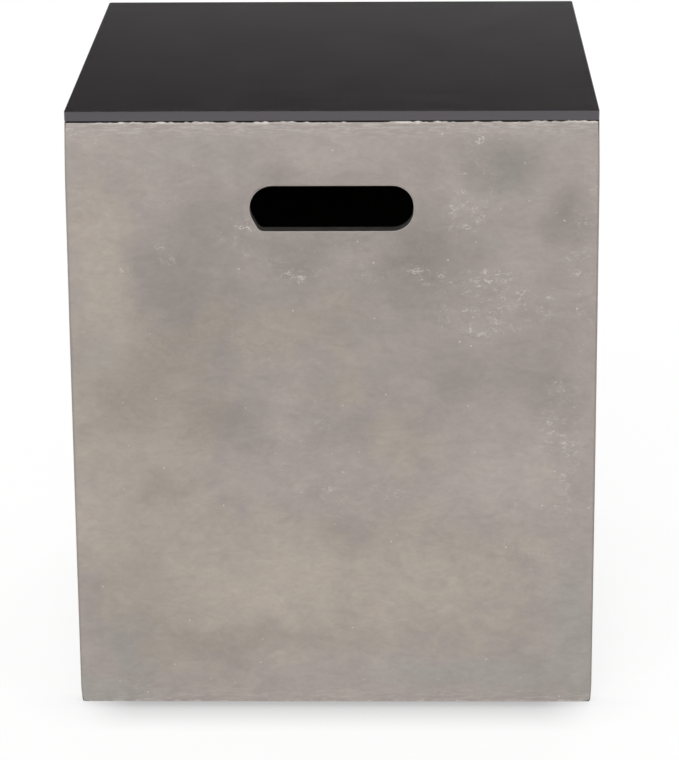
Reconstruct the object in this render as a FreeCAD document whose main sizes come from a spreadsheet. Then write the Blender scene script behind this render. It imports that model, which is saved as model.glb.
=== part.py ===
import FreeCAD, Part
import math
import os
from types import SimpleNamespace

import Sketcher

# Driving sizes in millimetres: name, value and what it measures
DRIVING_SIZES = (
    ("lid_side", 420.0, "side of the square lid"),
    ("lid_flange_height", 8.0, "height of the lid's folded edge"),
    ("lid_sheet", 1.2, "steel sheet of the lid"),
    ("lid_inner_bend", 0.4, "inside radius of the bend under the lid's top edge"),
    ("lid_inner_corner", 1.3, "inside radius of the lid's four corners, seen from above"),
    ("lid_gap", 0.8, "gap between the folded edge and the shell's rim"),
    ("shell_height", 495.0, "height of the cast shell"),
    ("shell_proud", 0.8, "how far the rim stands out past the lid's edge"),
    ("shell_flare", 1.4, "how far each wall leans out from rim to floor, the mould's draft"),
    ("shell_wall", 14.0, "thickness of the cast walls"),
    ("shell_foot_arris", 2.2, "rounding of the outer edge on the floor"),
    ("shell_corner", 1.8, "radius of the upright outer edges where they meet the rim"),
    ("shell_inner_corner", 12.0, "radius of the upright corners inside, at the rim"),
    ("shell_rim_arris", 1.0, "rounding of the rim"),
    ("slot_width", 130.0, "width of a hand slot"),
    ("slot_height", 37.0, "height of a hand slot"),
    ("slot_drop", 52.0, "from the rim down to the top of a hand slot"),
    ("slot_arris", 1.5, "rounding of a hand slot's edges"),
    ("notch_width", 60.0, "width of the hose notch"),
    ("notch_height", 45.0, "height of the hose notch above the floor"),
    ("notch_arris", 2.0, "rounding of the hose notch's edges"),
    ("stiffener_crown", 20.0, "width of a stiffener's flat crown"),
    ("stiffener_depth", 10.0, "depth of a stiffener below the lid"),
    ("stiffener_foot", 12.0, "width of each foot that is welded to the lid"),
    ("stiffener_sheet", 1.2, "steel sheet of a stiffener"),
    ("stiffener_inner_bend", 0.8, "inside radius of a stiffener's bends"),
    ("stiffener_spacing", 150.0, "distance between the two stiffeners"),
    ("stiffener_end_gap", 12.0, "from a stiffener's end to the shell's inside wall"),
    ("locator_gap", 1.5, "play between a locator and the shell's inside walls"),
    ("locator_arm", 55.0, "length of a locator's arms, from the corner"),
    ("locator_breadth", 24.0, "breadth of a locator's base"),
    ("locator_base", 4.0, "thickness of a locator's base"),
    ("locator_base_corner", 4.0, "radius of the inside corner of a locator's base"),
    ("locator_skirt", 3.0, "thickness of a locator's skirt"),
    ("locator_reach", 18.0, "how far a skirt reaches below the rim"),
    ("locator_lead_in", 1.5, "chamfer that guides a skirt into the shell"),
    ("locator_rib", 2.5, "thickness of the ribs between base and skirt"),
    ("locator_rib_depth", 12.0, "how far a rib runs down the skirt"),
    ("locator_rib_margin", 3.0, "from a rib's tip to the edge of the base"),
    ("stud_diameter", 4.0, "diameter of the threaded weld studs"),
    ("stud_length", 12.0, "length of the weld studs"),
    ("stud_tip", 0.5, "chamfer at a stud's tip"),
    ("stud_end_distance", 15.0, "from a stud to the end of a locator's arm"),
    ("stud_hole_gap", 0.25, "play between a stud and the hole in the locator"),
    ("nut_across_flats", 7.0, "width of the flange nuts across the flats"),
    ("nut_height", 4.6, "height of the flange nuts"),
    ("nut_flange_diameter", 10.0, "diameter of the nuts' flange"),
    ("nut_flange_height", 1.0, "thickness of the nuts' flange"),
    ("nut_thread_gap", 0.1, "play between a nut's bore and its stud"),
    ("bumper_diameter", 9.0, "diameter of the rubber bumpers"),
    ("bumper_arris", 0.8, "rounding of a bumper's lower edge"),
    ("bumper_edge_gap", 1.3, "from a bumper to the inside of the lid's folded edge"),
    ("bumper_seat_gap", 0.3, "gap left between a bumper and the rim"),
    ("bumper_spacing", 240.0, "distance between the two bumpers of one side"),
)

FULL_TURN = 360.0
CORNERS = 4
HEXAGON_SIDES = 6
NEAR = 0.01
UPRIGHT = FreeCAD.Vector(0.0, 0.0, 1.0)

# How a sketch numbers its own origin and the points of an edge
ORIGIN_INDEX = -1
START_INDEX = 1
END_INDEX = 2
CENTRE_INDEX = 3
PARTS_FOLDER = "parts"


class Length:
    """A length in millimetres, kept with the sheet expression that gives it."""

    def __init__(self, value, text):
        self.value = value
        self.text = text

    def __add__(self, other):
        return Length(self.value + other.value, f"({self.text} + {other.text})")

    def __sub__(self, other):
        return Length(self.value - other.value, f"({self.text} - {other.text})")

    def __mul__(self, factor):
        return Length(self.value * factor, f"({self.text} * {factor})")

    def __truediv__(self, divisor):
        return Length(self.value / divisor, f"({self.text} / {divisor})")

    def __neg__(self):
        return Length(-self.value, f"(-{self.text})")


ZERO = Length(0.0, "0")


# The sheet of driving sizes, and the sizes that follow from it

def make_sheet(doc):
    """Write the driving sizes into a spreadsheet, one aliased cell each."""
    sheet = doc.addObject("Spreadsheet::Sheet", "dims")
    for row, (alias, value, meaning) in enumerate(DRIVING_SIZES, start=1):
        sheet.set(f"A{row}", str(value))
        sheet.setAlias(f"A{row}", alias)
        sheet.set(f"B{row}", meaning)
    doc.recompute()
    return sheet


def read_sizes(sheet):
    """Give every cell of the sheet, and what follows from several of them, as lengths."""
    lengths = {}
    for alias, _, _ in DRIVING_SIZES:
        lengths[alias] = Length(float(sheet.get(alias)), f"{sheet.Name}.{alias}")
    s = SimpleNamespace(**lengths)

    s.lid_half = s.lid_side / 2
    s.lid_corner = s.lid_inner_corner + s.lid_sheet
    s.lid_bend = s.lid_inner_bend + s.lid_sheet
    s.lid_inner_half = s.lid_half - s.lid_sheet
    s.flange_foot_level = s.shell_height + s.lid_gap
    s.lid_underside_level = s.flange_foot_level + s.lid_flange_height - s.lid_sheet

    s.rim_half = s.lid_half + s.shell_proud
    s.foot_half = s.rim_half + s.shell_flare
    s.rim_inner_half = s.rim_half - s.shell_wall
    s.foot_inner_half = s.foot_half - s.shell_wall
    s.draft = f"-atan({s.shell_flare.text} / {s.shell_height.text})"
    s.slot_centre_level = s.shell_height - s.slot_drop - s.slot_height / 2

    s.stiffener_length = (s.rim_inner_half - s.stiffener_end_gap) * 2
    s.stiffener_bend = s.stiffener_inner_bend + s.stiffener_sheet

    s.locator_half = s.rim_inner_half - s.locator_gap
    s.locator_corner = s.shell_inner_corner - s.locator_gap
    s.locator_inner_corner = s.locator_corner - s.locator_skirt
    s.locator_arm_end = s.locator_half - s.locator_arm
    s.locator_base_edge = s.locator_half - s.locator_breadth
    s.locator_skirt_face = s.locator_half - s.locator_skirt
    s.locator_foot = -(s.lid_underside_level - s.shell_height + s.locator_reach)
    s.rib_centre = s.locator_half - s.locator_arm / 2
    s.rib_tip = s.locator_base_edge + s.locator_rib_margin
    s.rib_foot = -(s.locator_base + s.locator_rib_depth)

    s.stud_along = s.locator_arm_end + s.stud_end_distance
    s.stud_across = (s.locator_base_edge + s.locator_skirt_face) / 2
    s.stud_hole = s.stud_diameter + s.stud_hole_gap * 2
    s.nut_bore = s.stud_diameter + s.nut_thread_gap * 2

    s.bumper_height = s.lid_underside_level - s.shell_height - s.bumper_seat_gap
    s.bumper_inset = s.lid_inner_half - s.bumper_edge_gap - s.bumper_diameter / 2
    return s


# Sketches, whose every corner and radius is tied to the sheet

def new_sketch(body, name, plane_role, level=ZERO):
    """Start a sketch on one of the body's own origin planes, or at a distance from it."""
    sketch = body.newObject("Sketcher::SketchObject", name)
    planes = [item for item in body.Origin.OriginFeatures if item.Role == plane_role]
    sketch.AttachmentSupport = (planes[0], [""])
    sketch.MapMode = "FlatFace"
    sketch.setExpression("AttachmentOffset.Base.z", level.text)
    return sketch


def tie_size(sketch, kind, length, *where):
    """Add a dimension to the sketch and bind it to the sheet."""
    number = sketch.addConstraint(Sketcher.Constraint(kind, *where, length.value))
    sketch.setExpression(f"Constraints[{number}]", length.text)


def tie_point(sketch, edge, point, place):
    """Hold a point of a sketch edge at a place measured from the sketch's origin."""
    across, up = place
    tie_size(sketch, "DistanceX", across, ORIGIN_INDEX, START_INDEX, edge, point)
    tie_size(sketch, "DistanceY", up, ORIGIN_INDEX, START_INDEX, edge, point)


def sketch_point(place):
    """Give a place in a sketch as a vector."""
    across, up = place
    return FreeCAD.Vector(across.value, up.value, 0.0)


def draw_line(sketch, start, end):
    """Draw a line between two places."""
    return sketch.addGeometry(Part.LineSegment(sketch_point(start), sketch_point(end)), False)


def draw_outline(sketch, corners):
    """Draw a closed outline of straight lines through the corners."""
    lines = []
    for number, corner in enumerate(corners):
        lines.append(draw_line(sketch, corner, corners[(number + 1) % len(corners)]))
    for number, line in enumerate(lines):
        following = lines[(number + 1) % len(lines)]
        sketch.addConstraint(Sketcher.Constraint("Coincident", line, END_INDEX, following, START_INDEX))
        tie_point(sketch, line, START_INDEX, corners[number])


def draw_circle(sketch, centre, diameter):
    """Draw a circle of a given diameter round a centre."""
    circle = Part.Circle(sketch_point(centre), UPRIGHT, diameter.value / 2)
    edge = sketch.addGeometry(circle, False)
    tie_point(sketch, edge, CENTRE_INDEX, centre)
    tie_size(sketch, "Diameter", diameter, edge)


def draw_arc(sketch, centre, radius, start, sweep):
    """Draw an arc round a centre, from a starting angle over a sweep."""
    circle = Part.Circle(sketch_point(centre), UPRIGHT, radius.value)
    edge = sketch.addGeometry(Part.ArcOfCircle(circle, start, start + sweep), False)
    tie_point(sketch, edge, CENTRE_INDEX, centre)
    tie_size(sketch, "Radius", radius, edge)
    return edge


def join_arcs(sketch, arcs):
    """Close a ring of arcs with lines that run smoothly from each to the next."""
    for number, arc in enumerate(arcs):
        following = arcs[(number + 1) % len(arcs)]
        ends = (sketch.Geometry[arc].EndPoint, sketch.Geometry[following].StartPoint)
        line = sketch.addGeometry(Part.LineSegment(*ends), False)
        sketch.addConstraint(Sketcher.Constraint("Tangent", arc, END_INDEX, line, START_INDEX))
        sketch.addConstraint(Sketcher.Constraint("Tangent", line, END_INDEX, following, START_INDEX))


def draw_rounded_square(sketch, half, radius):
    """Draw a square round the origin with its four corners rounded."""
    flat = half - radius
    arcs = []
    for number, (across, up) in enumerate(((1, 1), (-1, 1), (-1, -1), (1, -1))):
        centre = (flat * across, flat * up)
        arcs.append(draw_arc(sketch, centre, radius, number * math.pi / 2, math.pi / 2))
    join_arcs(sketch, arcs)


def draw_round_ended_slot(sketch, centre_level, width, height):
    """Draw a level slot with half-round ends, centred sideways on the origin."""
    radius = height / 2
    reach = width / 2 - radius
    right = draw_arc(sketch, (reach, centre_level), radius, -math.pi / 2, math.pi)
    left = draw_arc(sketch, (-reach, centre_level), radius, math.pi / 2, math.pi)
    join_arcs(sketch, [right, left])


def draw_arch(sketch, width, height, overcut):
    """Draw a round-headed arch that runs a little below the floor."""
    radius = width / 2
    spring = height - radius
    sill_left = (-radius, -overcut)
    sill_right = (radius, -overcut)
    crown = draw_arc(sketch, (ZERO, spring), radius, 0.0, math.pi)
    left = draw_line(sketch, (-radius, spring), sill_left)
    sill = draw_line(sketch, sill_left, sill_right)
    right = draw_line(sketch, sill_right, (radius, spring))
    sketch.addConstraint(Sketcher.Constraint("Tangent", crown, END_INDEX, left, START_INDEX))
    sketch.addConstraint(Sketcher.Constraint("Coincident", left, END_INDEX, sill, START_INDEX))
    sketch.addConstraint(Sketcher.Constraint("Coincident", sill, END_INDEX, right, START_INDEX))
    sketch.addConstraint(Sketcher.Constraint("Tangent", right, END_INDEX, crown, START_INDEX))
    tie_point(sketch, sill, START_INDEX, sill_left)
    tie_point(sketch, sill, END_INDEX, sill_right)


# Bodies and the features that shape them

def new_body(doc, label, level=ZERO, turn=0.0):
    """Start a sub-part whose own origin lies at a level above the floor."""
    body = doc.addObject("PartDesign::Body", label)
    body.Label = label
    body.Placement = FreeCAD.Placement(FreeCAD.Vector(), FreeCAD.Rotation(UPRIGHT, turn))
    body.setExpression("Placement.Base.z", level.text)
    return body


def pad(body, name, sketch, length, downwards=False, both_ways=False):
    """Give a sketch thickness, upwards, downwards or half of it each way."""
    feature = body.newObject("PartDesign::Pad", name)
    feature.Profile = sketch
    feature.setExpression("Length", length.text)
    feature.Reversed = downwards
    if both_ways:
        feature.SideType = "Symmetric"
    return feature


def pocket(body, name, sketch, depth):
    """Cut a sketch upwards to a depth."""
    feature = body.newObject("PartDesign::Pocket", name)
    feature.Profile = sketch
    feature.setExpression("Length", depth.text)
    feature.Reversed = True
    return feature


def pocket_through(body, name, sketch, both_ways=False):
    """Cut a sketch through all that lies behind its plane, or on both sides of it."""
    feature = body.newObject("PartDesign::Pocket", name)
    feature.Profile = sketch
    feature.Type = "ThroughAll"
    if both_ways:
        feature.SideType = "Symmetric"
    return feature


def edges_where(shape, test):
    """Name the edges whose two ends and middle all pass a test."""
    names = []
    for number, edge in enumerate(shape.Edges, start=1):
        first, last = edge.ParameterRange
        points = [edge.valueAt(first + (last - first) * share) for share in (0.0, 0.5, 1.0)]
        if all(test(point) for point in points):
            names.append(f"Edge{number}")
    if not names:
        raise ValueError("no edge lies where one is looked for")
    return names


def dress_edges(body, kind, name, size, test):
    """Round or chamfer the edges of the body so far that pass a test."""
    base = body.Tip
    body.Document.recompute()
    feature = body.newObject(f"PartDesign::{kind}", name)
    feature.Base = (base, edges_where(base.Shape, test))
    feature.setExpression("Radius" if kind == "Fillet" else "Size", size.text)
    return feature


def check_cut(body, name, before, after):
    """Stop if a cut took nothing away, as one that points the wrong way would."""
    if after >= before - NEAR:
        raise RuntimeError(f"{body.Label}: {name} cuts nothing")


def at_level(point, level):
    """Tell whether a point lies at a level of its body."""
    return abs(point.z - level.value) < NEAR


# The cast shell

def make_body_shell(doc, s):
    """Cast shell, open above and below, with two hand slots and a hose notch."""
    body = new_body(doc, "body_shell")
    outside = new_sketch(body, "foot_outside", "XY_Plane")
    draw_rounded_square(outside, s.foot_half, s.shell_corner + s.shell_flare)
    walls = pad(body, "walls", outside, s.shell_height)
    walls.setExpression("TaperAngle", s.draft)

    dress_edges(body, "Fillet", "foot_rounding", s.shell_foot_arris, lambda p: at_level(p, ZERO))
    dress_edges(body, "Fillet", "rim_rounding", s.shell_rim_arris, lambda p: at_level(p, s.shell_height))

    inside = new_sketch(body, "foot_inside", "XY_Plane")
    draw_rounded_square(inside, s.foot_inner_half, s.shell_inner_corner + s.shell_flare)
    hollow = pocket(body, "hollow", inside, s.shell_height)
    hollow.setExpression("TaperAngle", s.draft)
    cut_hose_notch(body, s)
    cut_hand_slots(body, s)
    return body


def on_wall_face(point, s):
    """Tell whether a point of the front or back wall lies on a face, not inside the wall."""
    lean = s.shell_flare.value * point.z / s.shell_height.value
    depth = s.foot_half.value - lean - abs(point.y)
    return min(abs(depth), abs(depth - s.shell_wall.value)) < NEAR


def cut_hand_slots(body, s):
    """Hand slots through the front and the back wall, with rounded edges."""
    sketch = new_sketch(body, "hand_slot", "XZ_Plane")
    draw_round_ended_slot(sketch, s.slot_centre_level, s.slot_width, s.slot_height)
    body.Document.recompute()
    before = body.Shape.Volume
    pocket_through(body, "hand_slots", sketch, both_ways=True)
    body.Document.recompute()
    check_cut(body, "hand_slots", before, body.Shape.Volume)
    lowest = s.slot_centre_level.value - s.slot_height.value / 2 - NEAR
    highest = s.slot_centre_level.value + s.slot_height.value / 2 + NEAR
    reach = s.slot_width.value / 2 + NEAR

    def on_slot_edge(point):
        return on_wall_face(point, s) and lowest < point.z < highest and abs(point.x) < reach

    dress_edges(body, "Fillet", "slot_rounding", s.slot_arris, on_slot_edge)


def cut_hose_notch(body, s):
    """Arched notch in the back wall's lower edge, where the gas hose comes out."""
    sketch = new_sketch(body, "hose_notch", "XZ_Plane")
    draw_arch(sketch, s.notch_width, s.notch_height, s.shell_wall)
    body.Document.recompute()
    before = body.Shape.Volume
    pocket_through(body, "hose_notch_cut", sketch)
    body.Document.recompute()
    check_cut(body, "hose_notch_cut", before, body.Shape.Volume)
    reach = s.notch_width.value / 2 + NEAR
    lowest = s.shell_foot_arris.value / 2
    highest = s.notch_height.value + NEAR

    def on_notch_edge(point):
        return on_wall_face(point, s) and lowest < point.z < highest and abs(point.x) < reach

    dress_edges(body, "Fillet", "notch_rounding", s.notch_arris, on_notch_edge)


# The lid and its stiffeners

def make_lid_pan(doc, s):
    """Square steel lid with its four edges folded down."""
    body = new_body(doc, "lid_pan", s.flange_foot_level)
    outside = new_sketch(body, "lid_outside", "XY_Plane")
    draw_rounded_square(outside, s.lid_half, s.lid_corner)
    pad(body, "lid_block", outside, s.lid_flange_height)
    dress_edges(body, "Fillet", "top_bend", s.lid_bend, lambda p: at_level(p, s.lid_flange_height))
    inside = new_sketch(body, "lid_inside", "XY_Plane")
    draw_rounded_square(inside, s.lid_inner_half, s.lid_inner_corner)
    inner_top = s.lid_flange_height - s.lid_sheet
    pocket(body, "lid_hollow", inside, inner_top)
    dress_edges(body, "Fillet", "inner_bend", s.lid_inner_bend, lambda p: at_level(p, inner_top))
    return body


def make_stiffener(doc, s, label, side):
    """Hat-section stiffener across the lid, welded to its underside by two feet."""
    body = new_body(doc, label, s.lid_underside_level)
    body.setExpression("Placement.Base.y", (s.stiffener_spacing / 2 * side).text)
    outer_web = s.stiffener_crown / 2
    inner_web = outer_web - s.stiffener_sheet
    foot_end = outer_web + s.stiffener_foot
    foot_face = -s.stiffener_sheet
    crown_face = -s.stiffener_depth
    crown_inside = crown_face + s.stiffener_sheet
    upper_side = ((foot_end, ZERO), (inner_web, ZERO), (inner_web, crown_inside))
    lower_side = ((outer_web, crown_face), (outer_web, foot_face), (foot_end, foot_face))
    corners = [(-across, level) for across, level in upper_side]
    corners += reversed(upper_side)
    corners += reversed(lower_side)
    corners += [(-across, level) for across, level in lower_side]
    sketch = new_sketch(body, "hat_section", "YZ_Plane")
    draw_outline(sketch, corners)
    pad(body, "hat_rail", sketch, s.stiffener_length, both_ways=True)

    def along(across, level):
        return lambda p: abs(abs(p.y) - across.value) < NEAR and at_level(p, level)

    for name, radius, across, level in (
        ("crown_bend", s.stiffener_bend, outer_web, crown_face),
        ("crown_inner_bend", s.stiffener_inner_bend, inner_web, crown_inside),
        ("foot_bend", s.stiffener_bend, inner_web, ZERO),
        ("foot_inner_bend", s.stiffener_inner_bend, outer_web, foot_face),
    ):
        dress_edges(body, "Fillet", name, radius, along(across, level))
    return body


# The moulded locators and what fastens them

def make_locator(doc, s, label, turn):
    """Moulded corner piece under the lid that keeps it centred on the shell."""
    body = new_body(doc, label, s.lid_underside_level, turn)
    base = new_sketch(body, "base_outline", "XY_Plane")
    draw_outline(base, corner_outline(s, s.locator_base_edge))
    pad(body, "base", base, s.locator_base, downwards=True)
    skirt = new_sketch(body, "skirt_outline", "XY_Plane")
    draw_outline(skirt, corner_outline(s, s.locator_skirt_face))
    pad(body, "skirt", skirt, -s.locator_foot, downwards=True)

    def upright_at(half):
        return lambda p: abs(p.x - half.value) < NEAR and abs(p.y - half.value) < NEAR

    dress_edges(body, "Fillet", "outer_corner", s.locator_corner, upright_at(s.locator_half))
    dress_edges(body, "Fillet", "skirt_corner", s.locator_inner_corner, upright_at(s.locator_skirt_face))
    dress_edges(body, "Fillet", "base_corner", s.locator_base_corner, upright_at(s.locator_base_edge))

    centre = (s.locator_half - s.locator_corner).value
    middle = (s.locator_corner - s.locator_skirt / 2).value

    def on_lead_in(point):
        from_corner = math.hypot(max(point.x - centre, 0.0), max(point.y - centre, 0.0))
        return at_level(point, s.locator_foot) and from_corner > middle + NEAR

    dress_edges(body, "Chamfer", "lead_in", s.locator_lead_in, on_lead_in)
    add_rib(body, s, "back_rib", "YZ_Plane", s.rib_centre)
    add_rib(body, s, "side_rib", "XZ_Plane", -s.rib_centre)
    drill_stud_holes(body, s)
    return body


def add_rib(body, s, name, plane_role, level):
    """Three-cornered rib between the base and the skirt of one arm."""
    sketch = new_sketch(body, f"{name}_outline", plane_role, level)
    root = -s.locator_base
    draw_outline(sketch, (
        (s.locator_skirt_face, root),
        (s.rib_tip, root),
        (s.locator_skirt_face, s.rib_foot),
    ))
    pad(body, name, sketch, s.locator_rib, both_ways=True)


def drill_stud_holes(body, s):
    """Two holes through the base, one in each arm, that pass over the weld studs."""
    sketch = new_sketch(body, "stud_holes", "XY_Plane")
    for centre in stud_centres(s):
        draw_circle(sketch, centre, s.stud_hole)
    body.Document.recompute()
    before = body.Shape.Volume
    hole = body.newObject("PartDesign::Hole", "stud_clearance")
    hole.Profile = sketch
    hole.DepthType = "ThroughAll"
    hole.setExpression("Diameter", s.stud_hole.text)
    body.Document.recompute()
    check_cut(body, "stud_clearance", before, body.Shape.Volume)


def stud_centres(s):
    """Places of the two studs of the locator in the back right corner."""
    return (s.stud_along, s.stud_across), (s.stud_across, s.stud_along)


def corner_outline(s, inner_edge):
    """Right-angled strip along two walls, from the corner to the ends of its arms."""
    outer = s.locator_half
    end = s.locator_arm_end
    return (
        (outer, outer),
        (end, outer),
        (end, inner_edge),
        (inner_edge, inner_edge),
        (inner_edge, end),
        (outer, end),
    )


def repeat_at_corners(body):
    """Repeat what the body holds at the other three corners of the lid."""
    body.Document.recompute()
    axes = [item for item in body.Origin.OriginFeatures if item.Role == "Z_Axis"]
    pattern = body.newObject("PartDesign::PolarPattern", "corners")
    pattern.TransformMode = "Whole shape"
    pattern.Axis = (axes[0], [""])
    pattern.Angle = FULL_TURN
    pattern.Occurrences = CORNERS
    body.Tip = pattern


def make_weld_studs(doc, s):
    """Eight threaded studs welded to the lid's underside."""
    body = new_body(doc, "lid_weld_studs", s.lid_underside_level)
    sketch = new_sketch(body, "stud_circles", "XY_Plane")
    for centre in stud_centres(s):
        draw_circle(sketch, centre, s.stud_diameter)
    pad(body, "studs", sketch, s.stud_length, downwards=True)
    dress_edges(body, "Chamfer", "stud_tips", s.stud_tip, lambda p: at_level(p, -s.stud_length))
    repeat_at_corners(body)
    return body


def make_locator_nuts(doc, s):
    """Eight flange nuts that hold the locators up against the lid."""
    body = new_body(doc, "locator_nuts", s.lid_underside_level - s.locator_base)
    hexagons = new_sketch(body, "nut_hexagons", "XY_Plane")
    flanges = new_sketch(body, "nut_flanges", "XY_Plane")
    for centre in stud_centres(s):
        draw_outline(hexagons, hexagon(centre, s.nut_across_flats))
        draw_circle(hexagons, centre, s.nut_bore)
        draw_circle(flanges, centre, s.nut_flange_diameter)
        draw_circle(flanges, centre, s.nut_bore)
    pad(body, "nut_bodies", hexagons, s.nut_height, downwards=True)
    pad(body, "nut_flange_rings", flanges, s.nut_flange_height, downwards=True)
    repeat_at_corners(body)
    return body


def hexagon(centre, across_flats):
    """Six corners of a hexagon round a centre."""
    across, up = centre
    corner_radius = across_flats / 2 / math.cos(math.pi / HEXAGON_SIDES)
    corners = []
    for number in range(HEXAGON_SIDES):
        turn = 2 * math.pi * number / HEXAGON_SIDES
        corners.append((across + corner_radius * math.cos(turn), up + corner_radius * math.sin(turn)))
    return corners


def make_bumper(doc, s, label, place):
    """Rubber bumper stuck under the lid, on which the lid rests on the rim."""
    body = new_body(doc, label, s.lid_underside_level)
    across, along = place
    body.setExpression("Placement.Base.x", across.text)
    body.setExpression("Placement.Base.y", along.text)
    radius = s.bumper_diameter / 2
    sketch = new_sketch(body, "half_section", "XZ_Plane")
    draw_outline(sketch, ((ZERO, ZERO), (ZERO, -s.bumper_height), (radius, -s.bumper_height), (radius, ZERO)))
    turned = body.newObject("PartDesign::Revolution", "turned")
    turned.Profile = sketch
    turned.ReferenceAxis = (sketch, ["V_Axis"])
    turned.Angle = FULL_TURN
    dress_edges(body, "Fillet", "lower_edge", s.bumper_arris, lambda p: at_level(p, -s.bumper_height))
    return body


def bumper_places(s):
    """Label and place of every bumper, two to a side."""
    places = []
    for number, along in enumerate((-s.bumper_spacing / 2, s.bumper_spacing / 2), start=1):
        places.append((f"rim_bumper_front_{number}", (along, -s.bumper_inset)))
        places.append((f"rim_bumper_right_{number}", (s.bumper_inset, along)))
        places.append((f"rim_bumper_back_{number}", (-along, s.bumper_inset)))
        places.append((f"rim_bumper_left_{number}", (-s.bumper_inset, -along)))
    return places


# The whole table

def make_sub_parts(doc, s):
    """Build every sub-part of the table."""
    bodies = [make_body_shell(doc, s), make_lid_pan(doc, s)]
    bodies.append(make_stiffener(doc, s, "lid_stiffener_front", -1))
    bodies.append(make_stiffener(doc, s, "lid_stiffener_back", 1))
    for number, corner in enumerate(("back_right", "back_left", "front_left", "front_right")):
        bodies.append(make_locator(doc, s, f"locator_{corner}", number * FULL_TURN / CORNERS))
    bodies.append(make_weld_studs(doc, s))
    bodies.append(make_locator_nuts(doc, s))
    for label, place in bumper_places(s):
        bodies.append(make_bumper(doc, s, label, place))
    return bodies


def check_document(doc, bodies):
    """Stop before anything is written if an object failed or a shape is unsound."""
    for item in doc.Objects:
        if "Invalid" in item.State or "Error" in item.State:
            raise RuntimeError(f"{item.Name} failed: {item.State}")
    for body in bodies:
        if body.Shape.isNull() or not body.Shape.isValid():
            raise RuntimeError(f"{body.Label} has no valid shape")


def main():
    """Build the table, check it and write every sub-part to its own file."""
    doc = FreeCAD.newDocument("propane_tank_cover_table")
    sizes = read_sizes(make_sheet(doc))
    bodies = make_sub_parts(doc, sizes)
    doc.recompute()
    check_document(doc, bodies)
    os.makedirs(PARTS_FOLDER, exist_ok=True)
    for body in bodies:
        print(body.Label, len(body.Shape.Solids), round(body.Shape.Volume), body.Shape.BoundBox)
        body.Shape.exportStep(f"{PARTS_FOLDER}/{body.Label}.step")


main()
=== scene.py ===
import math
import random

import bmesh
import bpy
from bpy.props import FloatProperty, FloatVectorProperty, IntProperty, PointerProperty
from mathutils import Matrix, Vector, noise


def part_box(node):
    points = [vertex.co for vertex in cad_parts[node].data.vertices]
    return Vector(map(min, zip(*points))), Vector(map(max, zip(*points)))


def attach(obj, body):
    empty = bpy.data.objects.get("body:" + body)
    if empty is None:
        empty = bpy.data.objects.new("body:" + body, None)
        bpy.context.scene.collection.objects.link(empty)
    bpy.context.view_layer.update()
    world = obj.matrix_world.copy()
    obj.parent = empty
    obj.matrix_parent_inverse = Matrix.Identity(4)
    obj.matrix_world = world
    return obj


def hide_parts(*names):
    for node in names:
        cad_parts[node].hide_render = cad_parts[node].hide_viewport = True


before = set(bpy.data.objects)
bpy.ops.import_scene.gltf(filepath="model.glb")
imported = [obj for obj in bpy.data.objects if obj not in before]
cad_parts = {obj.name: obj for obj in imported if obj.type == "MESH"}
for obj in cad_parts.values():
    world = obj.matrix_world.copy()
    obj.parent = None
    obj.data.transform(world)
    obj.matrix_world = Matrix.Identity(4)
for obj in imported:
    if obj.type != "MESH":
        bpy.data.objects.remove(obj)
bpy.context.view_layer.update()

bl_info = {
    "name": "Tank cover table",
    "version": (1, 0, 0),
    "blender": (4, 5, 0),
    "location": "View3D > Sidebar > Table",
    "description": "Builds the looks of a cast tank cover table round its CAD frame",
    "category": "Object",
}

SHELL_LOW, SHELL_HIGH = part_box("body_shell")
LID_LOW, LID_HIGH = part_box("lid_pan")
MM = 0.001
TOUCH = 0.01 * MM
BORDER = 8 * MM
FRONT = -1
BACK = 1


def paint(red, green, blue):
    """A colour given in screen values from 0 to 255, as the linear colour that shaders use."""
    linear = []
    for value in (red, green, blue):
        share = value / 255
        linear.append(share / 12.92 if share <= 0.04045 else ((share + 0.055) / 1.055) ** 2.4)
    return tuple(linear)


def size(name, description, default, **more):
    """A length that a user may change, in metres."""
    return FloatProperty(name=name, description=description, default=default, unit="LENGTH", precision=5, **more)


def colour(name, description, default):
    """A colour that a user may change."""
    return FloatVectorProperty(name=name, description=description, default=default, subtype="COLOR", min=0, max=1)


# Settings that a user may change

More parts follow.
